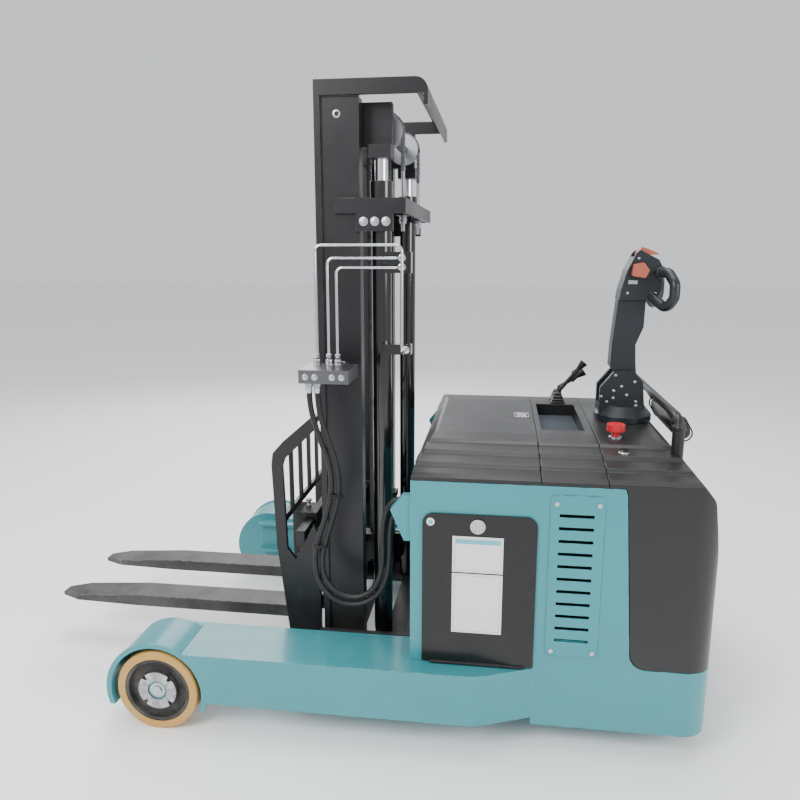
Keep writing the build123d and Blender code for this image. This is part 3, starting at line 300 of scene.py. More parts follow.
def sweep_ring(bm, line, radius, sides=16, closed=False):
    """A round tube along a line of points, with no twist. A closed line joins its own start."""
    across = None
    rings = []
    for i, place in enumerate(line):
        if closed:
            ahead = (line[(i + 1) % len(line)] - line[i - 1]).normalized()
        else:
            ahead = (line[min(i + 1, len(line) - 1)] - line[max(i - 1, 0)]).normalized()
        if across is None:
            across = ahead.orthogonal().normalized()
        across = (across - ahead * across.dot(ahead)).normalized()
        other = ahead.cross(across)
        rings.append([bm.verts.new(place + (across * cos(tau * k / sides)
                                            + other * sin(tau * k / sides)) * radius)
                      for k in range(sides)])
    if closed:
        rings.append(rings[0])
    for a, b in zip(rings, rings[1:]):
        for k in range(sides):
            bm.faces.new((a[k], a[(k + 1) % sides], b[(k + 1) % sides], b[k]))
    if not closed:
        bm.faces.new(rings[0])
        bm.faces.new(rings[-1])


MID = 0.528                 # from the load wheels' axle line to the middle of the machine
HOSE_DIA = 0.016
HOSE_ROUTES = {
    "hose_front": [(448, -492, 1026), (448, -492, 968), (472, -488, 880), (505, -484, 790), (505, -482, 705),
                   (480, -480, 622), (454, -478, 545), (448, -476, 490), (456, -475, 432), (484, -474, 388),
                   (531, -474, 362), (587, -474, 364), (634, -474, 394), (662, -474, 444), (673, -474, 515),
                   (673, -474, 585), (677, -474, 630), (688, -474, 660), (704, -474, 676), (726, -474, 676)],
    "hose_rear": [(472, -492, 1026), (472, -492, 966), (494, -488, 882), (526, -484, 792), (527, -482, 704),
                  (502, -480, 622), (478, -478, 545), (469, -476, 494), (475, -475, 444), (500, -474, 406),
                  (538, -474, 386), (584, -474, 387), (622, -474, 412), (645, -474, 455), (654, -474, 515),
                  (652, -474, 585), (657, -474, 640), (671, -474, 682), (696, -474, 702), (726, -474, 702)]}
hose_rubber = finish("hose_rubber", (0.009, 0.009, 0.010), (0.05, 0.05, 0.05), 0.42, 0.0012, 0.0003,
                     edge=0.0005, edge_wear_and_highlight=0.0, gloss=0.35)
for name, route in HOSE_ROUTES.items():
    line = smooth_line(name + "_line", [at(*point) for point in route])
    tube = bmesh.new()
    sweep_ring(tube, line, HOSE_DIA / 2, sides=20)
    hose = put(name + "_tube", tube, hose_rubber, None, (name,))
    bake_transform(hose)

TIE_WIRE_R = 0.0022
HOSE_TIES = (((505, -482, 704), (527, -482, 704)), ((454, -478, 545), (478, -478, 545)))
ties = bmesh.new()
for front_hose, rear_hose in HOSE_TIES:
    loop = []
    for centre, start_angle in ((at(*rear_hose), -pi / 2), (at(*front_hose), pi / 2)):
        for k in range(9):
            angle = start_angle + pi * k / 8
            loop.append(centre + Vector((cos(angle), sin(angle), 0)) * (HOSE_DIA / 2 + TIE_WIRE_R * 0.8))
    for lift in (-0.0025, 0.0025):
        sweep_ring(ties, [place + Vector((0, 0, lift)) for place in loop], TIE_WIRE_R, sides=8, closed=True)
put("hose_ties", ties, hose_rubber, "mast")


# ------------------------------------------------------------------ straddle legs
# Two box-section legs of welded plate, with a round fender over each load wheel, sprayed teal.
# Weld beads run across each leg, where the fender and the body's front plate meet it.
def dress(material, *names):
    """Gives a CAD node's own object its finish."""
    for name in names:
        for place in node[name].material_slots:
            place.material = material


def new_geometry_tree(name, inputs):
    """An empty Geometry Nodes tree: geometry and named values in, geometry out."""
    tree = bpy.data.node_groups.new(name, "GeometryNodeTree")
    tree.interface.new_socket("Geometry", in_out="INPUT", socket_type="NodeSocketGeometry")
    tree.interface.new_socket("Geometry", in_out="OUTPUT", socket_type="NodeSocketGeometry")
    for label, kind in [*inputs, ("Material", "Material")]:
        tree.interface.new_socket(label, in_out="INPUT", socket_type="NodeSocket" + kind)
    return tree, tree.nodes.new("NodeGroupInput").outputs, tree.nodes.new("NodeGroupOutput").inputs


def close_tree(tree, shape, material, output):
    """Ends a tree: instances become real, and take the finish."""
    real = add(tree, "GeometryNodeRealizeInstances", {"Geometry": shape}).outputs[0]
    painted = add(tree, "GeometryNodeSetMaterial", {"Geometry": real, "Material": material}).outputs[0]
    tree.links.new(painted, output["Geometry"])


def grow(name, tree, points, edges, values, material, body, slot=None, replaced=(), soften=0.0):
    """Runs a tree on points and edges, and keeps the result as one plain mesh piece."""
    seed = bpy.data.meshes.new(name + "_seed")
    seed.from_pydata([tuple(point) for point in points], edges, [])
    grower = link_new(name + "_seed", seed)
    modifier = grower.modifiers.new("grow", "NODES")
    modifier.node_group = tree
    sockets = {item.name: item.identifier for item in tree.interface.items_tree if item.in_out == "INPUT"}
    for label, value in {**values, "Material": material}.items():
        modifier[sockets[label]] = value
    if soften:
        edge_break = grower.modifiers.new("edge_break", "BEVEL")
        edge_break.width = soften
        edge_break.segments = 2
        edge_break.limit_method = "ANGLE"
    mesh = bpy.data.meshes.new_from_object(grower.evaluated_get(bpy.context.evaluated_depsgraph_get()))
    bpy.data.objects.remove(grower)
    mesh.name = name
    mesh.shade_smooth()
    mesh.set_sharp_from_angle(angle=radians(35))
    return settle(link_new(name, mesh), body, replaced)


def chain_of(*lines):
    """Points and edges of several open lines, one after another."""
    points, edges = [], []
    for line in lines:
        edges += [(len(points) + k, len(points) + k + 1) for k in range(len(line) - 1)]
        points += line
    return points, edges


bead_tree, bead_in, bead_out = new_geometry_tree("weld_beads",
                                                 [("Pitch", "Float"), ("Width", "Float"), ("Seed", "Int")])
bead_line = add(bead_tree, "GeometryNodeMeshToCurve", {"Mesh": bead_in["Geometry"]}).outputs[0]
bead_spots = add(bead_tree, "GeometryNodeResampleCurve", {"Curve": bead_line, "Length": bead_in["Pitch"]},
                 mode="LENGTH").outputs[0]
bead_ball = add(bead_tree, "GeometryNodeMeshIcoSphere", {"Radius": bead_in["Width"],
                                                         "Subdivisions": 2}).outputs[0]
bead_size = add(bead_tree, "FunctionNodeRandomValue", {2: 0.85, 3: 1.15, "Seed": bead_in["Seed"]},
                data_type="FLOAT").outputs[1]
bead_row = add(bead_tree, "GeometryNodeInstanceOnPoints", {"Points": bead_spots, "Instance": bead_ball,
                                                          "Scale": bead_size}).outputs[0]
close_tree(bead_tree, bead_row, bead_in["Material"], bead_out)

# The light teal worn colour marks the scratches, and along the edges it is a painted highlight as well as
# wear.
teal = finish("teal_paint", (0.026, 0.222, 0.252), (0.17, 0.54, 0.57), 0.36, 0.0016, 0.00006, edge=0.004,
              edge_wear_and_highlight=0.8, shade=0.08, coat=0.25, dust=0.10, scratch=0.10, gloss=0.45)
dress(teal, "outrigger_left", "outrigger_right")

LEG_IN, LEG_OUT, LEG_TOP = 467, 635, 253
LEG_SEAM_X = (79, 745)      # where the fender and the body's front plate cross the leg's top
seams = []
for side in (-1, 1):
    seams.append([at(LEG_SEAM_X[0], side * y, LEG_TOP) for y in (LEG_IN, LEG_OUT)])
    seams.append([at(LEG_SEAM_X[1], side * y, LEG_TOP) for y in (LEG_IN, 568)])
grow("leg_welds", bead_tree, *chain_of(*seams), {"Pitch": 0.0035, "Width": 0.0034, "Seed": 4}, teal,
     "chassis", "teal_paint")


# ------------------------------------------------------------------ load wheels
# A cast polyurethane tread on a black dished centre. A notched zinc ring plate and a nut close its bearing.
def turned(bm, profile, centre, axis, sides=40):
    """A turned shape: radius and distance pairs along the axis from the centre, closed at both ends."""
    axis = Vector(axis).normalized()
    across = axis.orthogonal().normalized()
    other = axis.cross(across)
    rings = []
    for radius, along in profile:
        rings.append([bm.verts.new(centre + axis * along + (across * cos(tau * k / sides)
                                                            + other * sin(tau * k / sides))
                                   * radius) for k in range(sides)])
    for a, b in zip(rings, rings[1:]):
        for k in range(sides):
            bm.faces.new((a[k], a[(k + 1) % sides], b[(k + 1) % sides], b[k]))
    bm.faces.new(rings[0])
    bm.faces.new(rings[-1])


screw_tree, screw_in, screw_out = new_geometry_tree(
    "screw_heads", [("Head radius", "Float"), ("Head height", "Float"), ("Washer radius", "Float"),
                    ("Sides", "Int"), ("Axis", "Vector")])
screw_turn = add(screw_tree, "FunctionNodeAlignRotationToVector", {"Vector": screw_in["Axis"]},
                 axis="Z").outputs[0]
washer_height = add(screw_tree, "Math", {0: screw_in["Washer radius"], 1: 0.16},
                    operation="MULTIPLY").outputs[0]
head_middle = add(screw_tree, "Math", {0: screw_in["Head height"], 1: 0.5, 2: washer_height},
                  operation="MULTIPLY_ADD").outputs[0]
head_lift = add(screw_tree, "CombineXYZ", {"Z": head_middle}).outputs[0]
screw_head = add(screw_tree, "GeometryNodeMeshCylinder", {"Vertices": screw_in["Sides"],
                 "Radius": screw_in["Head radius"], "Depth": screw_in["Head height"]}).outputs[0]
screw_raised = add(screw_tree, "GeometryNodeTransform", {"Geometry": screw_head,
                                                         "Translation": head_lift}).outputs[0]
screw_washer = add(screw_tree, "GeometryNodeMeshCylinder", {"Vertices": 24,
                                                            "Radius": screw_in["Washer radius"],
                   "Depth": washer_height}).outputs[0]
screw_both = add(screw_tree, "GeometryNodeJoinGeometry", {"Geometry": screw_raised})
screw_tree.links.new(screw_washer, screw_both.inputs["Geometry"])
screw_row = add(screw_tree, "GeometryNodeInstanceOnPoints", {"Points": screw_in["Geometry"],
                "Instance": screw_both.outputs[0], "Rotation": screw_turn}).outputs[0]
close_tree(screw_tree, screw_row, screw_in["Material"], screw_out)


def screws(name, points, radius, axis, material, body, sides=6, height=0.6, washer=1.5):
    """Screw or nut heads on washers, all facing the same way."""
    values = {"Head radius": radius, "Head height": radius * height, "Washer radius": radius * washer,
              "Sides": sides, "Axis": axis}
    return grow(name, screw_tree, points, [], values, material, body, "zinc", soften=radius * 0.06)


polyurethane = finish("tread", (0.46, 0.25, 0.035), (0.60, 0.42, 0.13), 0.36, 0.002, 0.0001, edge=0.004,
                      edge_wear_and_highlight=0.4, shade=0.16, dust=0.5, scratch=0.5)
dress(polyurethane, "load_tyre_left", "load_tyre_right")
hub_black = finish("hub_paint", (0.010, 0.010, 0.010), (0.08, 0.08, 0.08), 0.5, 0.003, 0.0003, edge=0.003,
                   dust=0.4, gloss=0.35)
dress(hub_black, "load_hub_left", "load_hub_right")
zinc = finish("zinc", (0.50, 0.51, 0.53), (0.65, 0.65, 0.66), 0.35, 0.001, 0.00005, metal=1.0, shade=0.1,
              edge=0.001, dust=0.1)

WHEEL_Z = 0.125
CAP_OUTER, CAP_NOTCH, CAP_INNER = 0.058, 0.045, 0.029
CAP_THICK = 0.003
CAP_STEPS = 96
NOTCH_SHARE = 0.16          # of each quarter of the ring
PLATE_SCREW_RING = 0.051
for side, name in ((-1, "left"), (1, "right")):
    face = low["load_tyre_left"].y + 0.001 if side < 0 else high["load_tyre_right"].y - 0.001
    cap = bmesh.new()
    rims = []
    for k in range(CAP_STEPS):
        quarter = (k % (CAP_STEPS // 4)) / (CAP_STEPS // 4)
        outer = CAP_NOTCH if abs(quarter - 0.5) < NOTCH_SHARE / 2 else CAP_OUTER
        turn = tau * k / CAP_STEPS
        out_way = Vector((cos(turn), 0, sin(turn)))
        centre = Vector((-MID, face, WHEEL_Z))
        back = Vector((0, -side * CAP_THICK, 0))
        rims.append([cap.verts.new(place) for place in
                     (centre + out_way * CAP_INNER, centre + out_way * outer, centre + out_way * outer + back,
                      centre + out_way * CAP_INNER + back)])
    for a, b in zip(rims, rims[1:] + rims[:1]):
        for k in range(4):
            cap.faces.new((a[k], a[(k + 1) % 4], b[(k + 1) % 4], b[k]))
    body = "load_wheel_" + name
    put("wheel_ring_plate_" + name, cap, zinc, body)
    centre = Vector((-MID, face - side * 0.004, WHEEL_Z))
    screws("wheel_nut_" + name, [centre], 0.016, (0, side, 0), zinc, body, height=0.3, washer=1.45)
    ring = [centre + Vector((cos(tau * (k + 0.5) / 8), 0, sin(tau * (k + 0.5) / 8))) * PLATE_SCREW_RING
            + Vector((0, side * 0.004, 0)) for k in range(8)]
    screws("wheel_plate_screws_" + name, ring, 0.0032, (0, side, 0), zinc, body, sides=12, height=0.5,
           washer=1.3)


# ------------------------------------------------------------------ body shell and chassis
# Bent sheet steel, welded to the legs and the frame, in the same teal. A matte black sheet lies behind the
# louvred panels, which are screwed on at their corners: painted shade for the dark inside of the body.
dress(teal, "body_shell", "chassis_frame", "vent_panels")
dress(zinc, "panel_screws")


def slab(bm, x, y, z):
    """A plain block between two values each way, in the machine's own millimetres."""
    corners = [bm.verts.new(at(a, b, c)) for a in x for b in y for c in z]
    for face in ((0, 1, 3, 2), (4, 6, 7, 5), (0, 4, 5, 1), (2, 3, 7, 6), (0, 2, 6, 4), (1, 5, 7, 3)):
        bm.faces.new([corners[k] for k in face])


def eased(bm, width=0.0015):
    bmesh.ops.bevel(bm, geom=bm.edges[:], offset=width, segments=2, affect="EDGES")


BODY_HALF = 570
# Near-black and matte, this sheet is painted shade where the body's inside would be dark.
painted_shade_black = finish("painted_shade_black", (0.003, 0.003, 0.003), (0.01, 0.01, 0.01), 0.9, 0.002, 0.0002,
                      gloss=0.1)
shade_sheet = bmesh.new()
for side in (-1, 1):
    slab(shade_sheet, (1136, 1249), sorted((side * (BODY_HALF - 9), side * (BODY_HALF - 7))), (325, 735))
put("vent_shade_sheets", shade_sheet, painted_shade_black, "chassis", smooth=False)


# ------------------------------------------------------------------ battery, pump unit and controller
# The steel battery case with its eight screwed cell caps, the oil tank with its pump motor, and the finned
# aluminium controller stand on the frame inside the body.
battery_blue = finish("battery_case", (0.03, 0.04, 0.06), (0.2, 0.2, 0.2), 0.45, 0.002, 0.0001, dust=0.4)
dress(battery_blue, "battery")
pump_black = finish("pump_black", (0.012, 0.012, 0.013), (0.15, 0.15, 0.15), 0.4, 0.0015, 0.00008,
                    worn_metal=0.6)
dress(pump_black, "hydraulic_power_unit")
cast_aluminium = finish("cast_aluminium", (0.30, 0.31, 0.32), (0.5, 0.5, 0.5), 0.5, 0.002, 0.0003, metal=0.9,
                        edge=0.002)
dress(cast_aluminium, "motor_controller")
cells = bmesh.new()
for y in (-300, -100, 100, 300):
    for x in (845, 1005):
        turned(cells, [(0.0195, -0.001), (0.0195, 0.004), (0.0170, 0.006), (0.0080, 0.006), (0.0080, 0.009),
                       (0.0060, 0.010)], at(x, y, 734), (0, 0, 1), sides=24)
put("battery_cell_caps", cells, polyurethane, "chassis")


# ------------------------------------------------------------------ battery doors
# Flat pressed doors in gloss black, hinged along the foot. Each has a quarter-turn latch, a small round
# plate, and a blank data plate in two panels.
door_black = finish("door_paint", (0.0045, 0.0045, 0.005), (0.06, 0.06, 0.065), 0.24, 0.0015, 0.00004,
                    edge=0.003, dust=0.05, scratch=0.15, gloss=0.4)
dress(door_black, "battery_door_left", "battery_door_right")
dress(zinc, "door_latch_left", "door_latch_right")
plate_white = finish("plate_white", (0.70, 0.69, 0.71), (0.5, 0.5, 0.5), 0.38, 0.0006, 0.00002, edge=0.0004,
                     edge_wear_and_highlight=0.2, shade=0.03, dust=0.02)
plate_grey = finish("plate_grey", (0.30, 0.31, 0.33), (0.5, 0.5, 0.5), 0.4, 0.0006, 0.00002, edge=0.0003,
                    edge_wear_and_highlight=0.1)
plate_blue = finish("plate_blue", (0.10, 0.42, 0.50), (0.5, 0.6, 0.6), 0.35, 0.0006, 0.00002, edge=0.0003,
                    edge_wear_and_highlight=0.1)
DOOR_FACE = BODY_HALF + 5
PANELS = ((353, 529), (533, 637))       # bottom and top of the data plate's two panels
PLATE_X = (862, 1000)
RULE_X = (868, 994)
BUTTON_AT = (801, 675)
LATCH_AT = (930, 668)
for side, name in ((-1, "left"), (1, "right")):
    def skin(near, far):
        return sorted((side * (DOOR_FACE + near), side * (DOOR_FACE + far)))

    plate = bmesh.new()
    for z0, z1 in PANELS:
        slab(plate, PLATE_X, skin(0, 0.5), (z0, z1))
    turned(plate, [(0.0110, -0.0001), (0.0110, 0.0006), (0.0104, 0.0009)],
           at(BUTTON_AT[0], side * DOOR_FACE, BUTTON_AT[1]),
           (0, side, 0))
    put("data_plate_" + name, plate, plate_white, "door_" + name, smooth=False)
    rule = bmesh.new()
    for z0, z1 in PANELS:
        for z in (z0 + 5, z1 - 6):
            slab(rule, RULE_X, skin(0.5, 0.65), (z, z + 1))
        for x in (RULE_X[0], RULE_X[1] - 1):
            slab(rule, (x, x + 1), skin(0.5, 0.65), (z0 + 5, z1 - 5))
    put("data_plate_rules_" + name, rule, plate_grey, "door_" + name, smooth=False)
    spot = bmesh.new()
    turned(spot, [(0.0062, 0.0008), (0.0062, 0.0011)], at(BUTTON_AT[0], side * DOOR_FACE, BUTTON_AT[1]),
           (0, side, 0))
    slab(spot, (870, 992), skin(0.5, 0.66), (616, 629))
    put("data_plate_band_" + name, spot, plate_blue, "door_" + name, smooth=False)
    well = bmesh.new()
    turned(well, [(0.0155, -0.001), (0.0155, 0.0025)], at(LATCH_AT[0], side * DOOR_FACE, LATCH_AT[1]),
           (0, side, 0))
    put("latch_well_" + name, well, door_black, "latch_" + name)


# ------------------------------------------------------------------ front cover
# Formed black plastic over the battery, with three low steps down each side. A bright recessed catch near
# its rear edge holds it shut.
cover_plastic = finish("cover_plastic", (0.012, 0.012, 0.0125), (0.07, 0.07, 0.075), 0.33, 0.0009, 0.00010,
                       edge=0.005, edge_wear_and_highlight=0.45, dust=0.05, scratch=0.08, gloss=0.4)
dress(cover_plastic, "battery_cover")
chrome = finish("chrome", (0.70, 0.71, 0.73), (0.8, 0.8, 0.8), 0.13, 0.0008, 0.00001, metal=1.0, shade=0.04,
                edge=0.001, dust=0.03)
dress(chrome, "cover_latch")
COVER_TOP = 852
catch = bmesh.new()
slab(catch, (1030, 1034), (-31, 31), (COVER_TOP - 1, COVER_TOP + 2.5))
slab(catch, (1076, 1080), (-31, 31), (COVER_TOP - 1, COVER_TOP + 2.5))
for y in (-31, 27):
    slab(catch, (1034, 1076), (y, y + 4), (COVER_TOP - 1, COVER_TOP + 2.5))
eased(catch, 0.0008)
put("cover_catch_frame", catch, chrome, "front_cover")


# ------------------------------------------------------------------ tray cover and levers
# The middle cover carries a tray with a thin moulded mat, whose blue-grey colour is a painted sheen, and
# the two hydraulic levers come up through pleated rubber boots. Their grips flare to both ends.
dress(cover_plastic, "tray_cover")
lever_rubber = finish("lever_rubber", (0.008, 0.008, 0.008), (0.05, 0.05, 0.05), 0.45, 0.001, 0.0001,
                      dust=0.1, gloss=0.35)
dress(lever_rubber, "lift_lever", "reach_lever")
# The mat's bluish tint is a painted reflection of a soft sheen, put into its base colour.
mat_painted_sheen = finish("tray_mat", (0.040, 0.052, 0.068), (0.08, 0.09, 0.1), 0.42, 0.0012, 0.00015, edge=0.001,
                  dust=0.1)
TRAY_FLOOR = COVER_TOP - 43
mat = bmesh.new()
slab(mat, (1114, 1243), (-198, 198), (TRAY_FLOOR, TRAY_FLOOR + 2))
eased(mat, 0.0008)
put("tray_mat", mat, mat_painted_sheen, "chassis")

bar_tree, bar_in, bar_out = new_geometry_tree("bars", [("Size", "Vector")])
one_bar = add(bar_tree, "GeometryNodeMeshCube", {"Size": bar_in["Size"]}).outputs[0]
bar_row = add(bar_tree, "GeometryNodeInstanceOnPoints", {"Points": bar_in["Geometry"],
                                                         "Instance": one_bar}).outputs[0]
close_tree(bar_tree, bar_row, bar_in["Material"], bar_out)
rib_spots = [at(1178.5, y, TRAY_FLOOR + 2.3) for y in range(-186, 187, 12)]
grow("tray_mat_ribs", bar_tree, rib_spots, [], {"Size": (0.120, 0.003, 0.0014)}, mat_painted_sheen, "chassis",
     "cover_plastic", soften=0.0004)

BOOT_TIERS = ((0.026, 0.0), (0.026, 0.004), (0.020, 0.008), (0.023, 0.012), (0.016, 0.018), (0.019, 0.022),
              (0.0125, 0.029), (0.0145, 0.033), (0.0095, 0.038))
boots = bmesh.new()
for y in (240, 292):
    foot = at(1192, y, COVER_TOP)
    rings = []
    for reach, lift in BOOT_TIERS:
        ring = []
        for k in range(32):
            c, s = cos(tau * k / 32), sin(tau * k / 32)
            square = 1 / (abs(c) ** 5 + abs(s) ** 5) ** 0.2
            ring.append(boots.verts.new(foot + Vector((c * square * reach, s * square * reach, lift))))
        rings.append(ring)
    for a, b in zip(rings, rings[1:]):
        for k in range(32):
            boots.faces.new((a[k], a[(k + 1) % 32], b[(k + 1) % 32], b[k]))
    boots.faces.new(rings[0])
    boots.faces.new(rings[-1])
put("lever_boots", boots, lever_rubber, "chassis")


# ------------------------------------------------------------------ rear cowl, stop button and key switch
# One deep moulding round the back of the machine. The red mushroom button stops the truck, and the key
# switch beside it has a brass core.
dress(cover_plastic, "rear_cowl")
red_plastic = finish("red_plastic", (0.55, 0.010, 0.018), (0.7, 0.1, 0.1), 0.26, 0.002, 0.00004, edge=0.002,
                     edge_wear_and_highlight=0.2)
dress(red_plastic, "emergency_stop_button")
dress(cover_plastic, "ignition_key")
brass = finish("brass", (0.75, 0.50, 0.16), (0.9, 0.7, 0.4), 0.25, 0.0006, 0.00002, metal=1.0, edge=0.0005)
bezel = bmesh.new()
turned(bezel, [(0.019, -0.002), (0.019, 0.002), (0.0165, 0.0045), (0.0135, 0.0045), (0.0135, -0.002)],
       at(1326, -265, COVER_TOP), (0, 0, 1))
turned(bezel, [(0.0150, -0.004), (0.0150, 0.0016), (0.0130, 0.0030), (0.0098, 0.0030), (0.0098, -0.004)],
       at(1332, -390, COVER_TOP - 14), (0, 0, 1))
put("switch_bezels", bezel, zinc, "chassis")
core = bmesh.new()
turned(core, [(0.0042, 0.0), (0.0042, 0.0012), (0.0034, 0.0018)], at(1326, -390, COVER_TOP - 9), (0, 0, 1),
       sides=20)
put("key_switch_core", core, brass, "key")


# ------------------------------------------------------------------ drive unit and casters
# The gearbox and its motor turn with the steering, on one polyurethane wheel. A swivelling caster stands
# on each side of it.
mast_black = finish("mast_paint", (0.0085, 0.0085, 0.0095), (0.10, 0.10, 0.11), 0.36, 0.0015, 0.00007,
                    edge=0.003, edge_wear_and_highlight=0.6, shade=0.2, dust=0.08, scratch=0.15, gloss=0.4)
dress(mast_black, "drive_gearbox", "drive_motor", "caster_fork_left", "caster_fork_right")
dress(polyurethane, "drive_wheel", "caster_wheel_left", "caster_wheel_right")
DRIVE_WHEEL_FACE = low["drive_wheel"].y
hub_ring = [Vector((1.385 - MID + cos(tau * k / 5) * 0.045, DRIVE_WHEEL_FACE,
                    0.115 + sin(tau * k / 5) * 0.045))
            for k in range(5)]
screws("drive_wheel_nuts", hub_ring, 0.009, (0, -1, 0), zinc, "drive_wheel", height=0.9)


# ------------------------------------------------------------------ steering head and tiller
# Moulded dark housings on a round foot. Button-head screws hold the cheeks, and the head carries loop
# handles, the orange speed wings and the orange safety button across its tip.
tiller_plastic = finish("tiller_plastic", (0.010, 0.0135, 0.017), (0.09, 0.10, 0.11), 0.38, 0.0008, 0.00012,
                        edge=0.003, dust=0.05, scratch=0.08, gloss=0.4)
dress(tiller_plastic, "tiller_base", "tiller_arm", "tiller_head")
orange_plastic = finish("orange_plastic", (0.36, 0.085, 0.050), (0.5, 0.2, 0.1), 0.34, 0.002, 0.00004,
                        edge=0.002, edge_wear_and_highlight=0.2)
dress(orange_plastic, "throttle_butterfly", "belly_button")
CHEEK_SCREWS = ((1346, 953), (1346, 929), (1370, 968), (1388, 940), (1418, 919), (1419, 906), (1350, 1004),
                (1308, 933), (1326, 916), (1411, 984))
HEAD_SCREWS = ((1372, 1268), (1456, 1268), (1400, 1376))
for side in (-1, 1):
    name = "left" if side < 0 else "right"
    screws("cheek_screws_" + name, [at(x, side * 50, z) for x, z in CHEEK_SCREWS], 0.0036, (0, side, 0), zinc,
           "steering", sides=12, height=0.5, washer=1.3)
    screws("head_screws_" + name, [at(x, side * 46, z) for x, z in HEAD_SCREWS], 0.0030, (0, side, 0), zinc,
           "tiller", sides=12, height=0.5, washer=1.3)
grip_rings = bmesh.new()
for side in (-1, 1):
    turned(grip_rings, [(0.0195, -0.004), (0.0195, 0.004), (0.0175, 0.006), (0.0160, 0.006), (0.0160, -0.006),
                        (0.0175, -0.006)], at(1468, side * 50, 1333.2), (31, side * 50, -2))
put("loop_collars", grip_rings, tiller_plastic, "tiller")
badge = bmesh.new()
slab(badge, (1372, 1400), (-47.2, -45.9), (1296, 1308))
slab(badge, (1372, 1400), (45.9, 47.2), (1296, 1308))
eased(badge, 0.0004)
put("head_side_plates", badge, zinc, "tiller")


# ------------------------------------------------------------------ hoop, lean pad and step
# A bent tube on two posts with a collar at each post's top. The pad is foam in black vinyl with piped
# ends, and the fold-up step has a ribbed rubber mat on its standing face.
dress(mast_black, "lean_hoop")
HOOP_X, HOOP_HALF, POST_TOP = 1478, 380, 919
collars = bmesh.new()
for side in (-1, 1):
    turned(collars, [(0.0176, -0.012), (0.0186, -0.010), (0.0186, -0.002), (0.0170, 0.001), (0.0126, 0.003),
                     (0.0118, 0.003)], at(HOOP_X, side * HOOP_HALF, POST_TOP), (0, 0, 1))
put("hoop_collars", collars, mast_black, "chassis")

pad_vinyl = finish("pad_vinyl", (0.008, 0.008, 0.009), (0.05, 0.05, 0.055), 0.40, 0.0022, 0.00030, edge=0.002,
                   edge_wear_and_highlight=0.1, shade=0.2, dust=0.08, gloss=0.4)
PAD_LOW, PAD_HIGH = (1545, 848), (1530, 875)
PAD_R, PAD_HALF = 23.0, 176.0
PAD_STEPS = 24


def pad_ring(y, shrink):
    """The pad's outline at one place across the machine, drawn in towards its middle line."""
    (x0, z0), (x1, z1) = PAD_LOW, PAD_HIGH
    lean = Vector((x1 - x0, z1 - z0)).normalized()
    out = Vector((lean.y, -lean.x))
    ring = []
    for k in range(PAD_STEPS):
        angle = tau * k / PAD_STEPS
        heart = Vector((x1, z1)) if sin(angle) > 0 else Vector((x0, z0))
        spot = heart + (out * cos(angle) + lean * sin(angle)) * PAD_R
        middle = Vector(((x0 + x1) / 2, (z0 + z1) / 2))
        spot = middle + (spot - middle) * shrink
        ring.append(at(spot.x, y, spot.y))
    return ring


pad = bmesh.new()
pad_rings = []
for k in range(33):
    share = -1 + 2 * k / 32
    pad_rings.append([pad.verts.new(place) for place in pad_ring(PAD_HALF * share,
                                                                 1 - 0.16 * abs(share) ** 14)])
for a, b in zip(pad_rings, pad_rings[1:]):
    for k in range(PAD_STEPS):
        pad.faces.new((a[k], a[(k + 1) % PAD_STEPS], b[(k + 1) % PAD_STEPS], b[k]))
pad.faces.new(pad_rings[0])
pad.faces.new(pad_rings[-1])
bmesh.ops.recalc_face_normals(pad, faces=pad.faces)
pad_mesh = bpy.data.meshes.new("lean_pad_cushion")
pad.to_mesh(pad_mesh)
pad.free()
cushion = link_new("lean_pad_cushion", pad_mesh)

PAD_VOXEL = 0.005
PAD_SWELL = 0.004
remesh = cushion.modifiers.new("remesh", "REMESH")
remesh.mode = "VOXEL"
remesh.voxel_size = PAD_VOXEL
foam = bpy.data.meshes.new_from_object(cushion.evaluated_get(bpy.context.evaluated_depsgraph_get()))
cushion.modifiers.clear()
cushion.data = foam
start_shape = [vertex.co.copy() for vertex in foam.vertices]
cloth = cushion.modifiers.new("stuffing", "CLOTH")
cloth.settings.use_pressure = True
cloth.settings.uniform_pressure_force = 4.0
cloth.settings.effector_weights.gravity = 0.0
scene = bpy.context.scene
for step in range(1, 21):
    scene.frame_set(step)
swollen = bpy.data.meshes.new_from_object(cushion.evaluated_get(bpy.context.evaluated_depsgraph_get()))
cushion.modifiers.clear()
for vertex, start in zip(swollen.vertices, start_shape):
    move = vertex.co - start
    if move.length > PAD_SWELL:
        vertex.co = start + move.normalized() * PAD_SWELL
cushion.data = swollen
scene.frame_set(1)
smoothing = cushion.modifiers.new("fair", "SUBSURF")
smoothing.levels = 1
smoothing.render_levels = 1
cushion.data.materials.append(pad_vinyl)
cushion.data.shade_smooth()
settle(cushion, "chassis", ("lean_pad",))
piping = bmesh.new()
for y in (-PAD_HALF + 6, PAD_HALF - 6):
    sweep_ring(piping, pad_ring(y, 1.06), 0.0024, sides=8, closed=True)
put("lean_pad_piping", piping, pad_vinyl, "chassis")

dress(cover_plastic, "stand_platform")
STEP_FACE_X = low["stand_platform"].x + 0.024
STEP_RIB_Z = range(195, 525, 12)
mat_ribs = [Vector((STEP_FACE_X, 0, z / 1000)) for z in STEP_RIB_Z]
grow("step_mat_ribs", bar_tree, mat_ribs, [], {"Size": (0.004, 0.420, 0.006)}, lever_rubber, "platform",
     "hose_rubber", soften=0.0008)


# ------------------------------------------------------------------ reach carriage and its cylinders
# The mast's base rolls in the legs' channels on four steel rollers, and two cylinders push it out.
dress(mast_black, "reach_carriage", "reach_barrels")
dress(zinc, "reach_rollers_front", "reach_rollers_rear")
dress(chrome, "reach_rods")


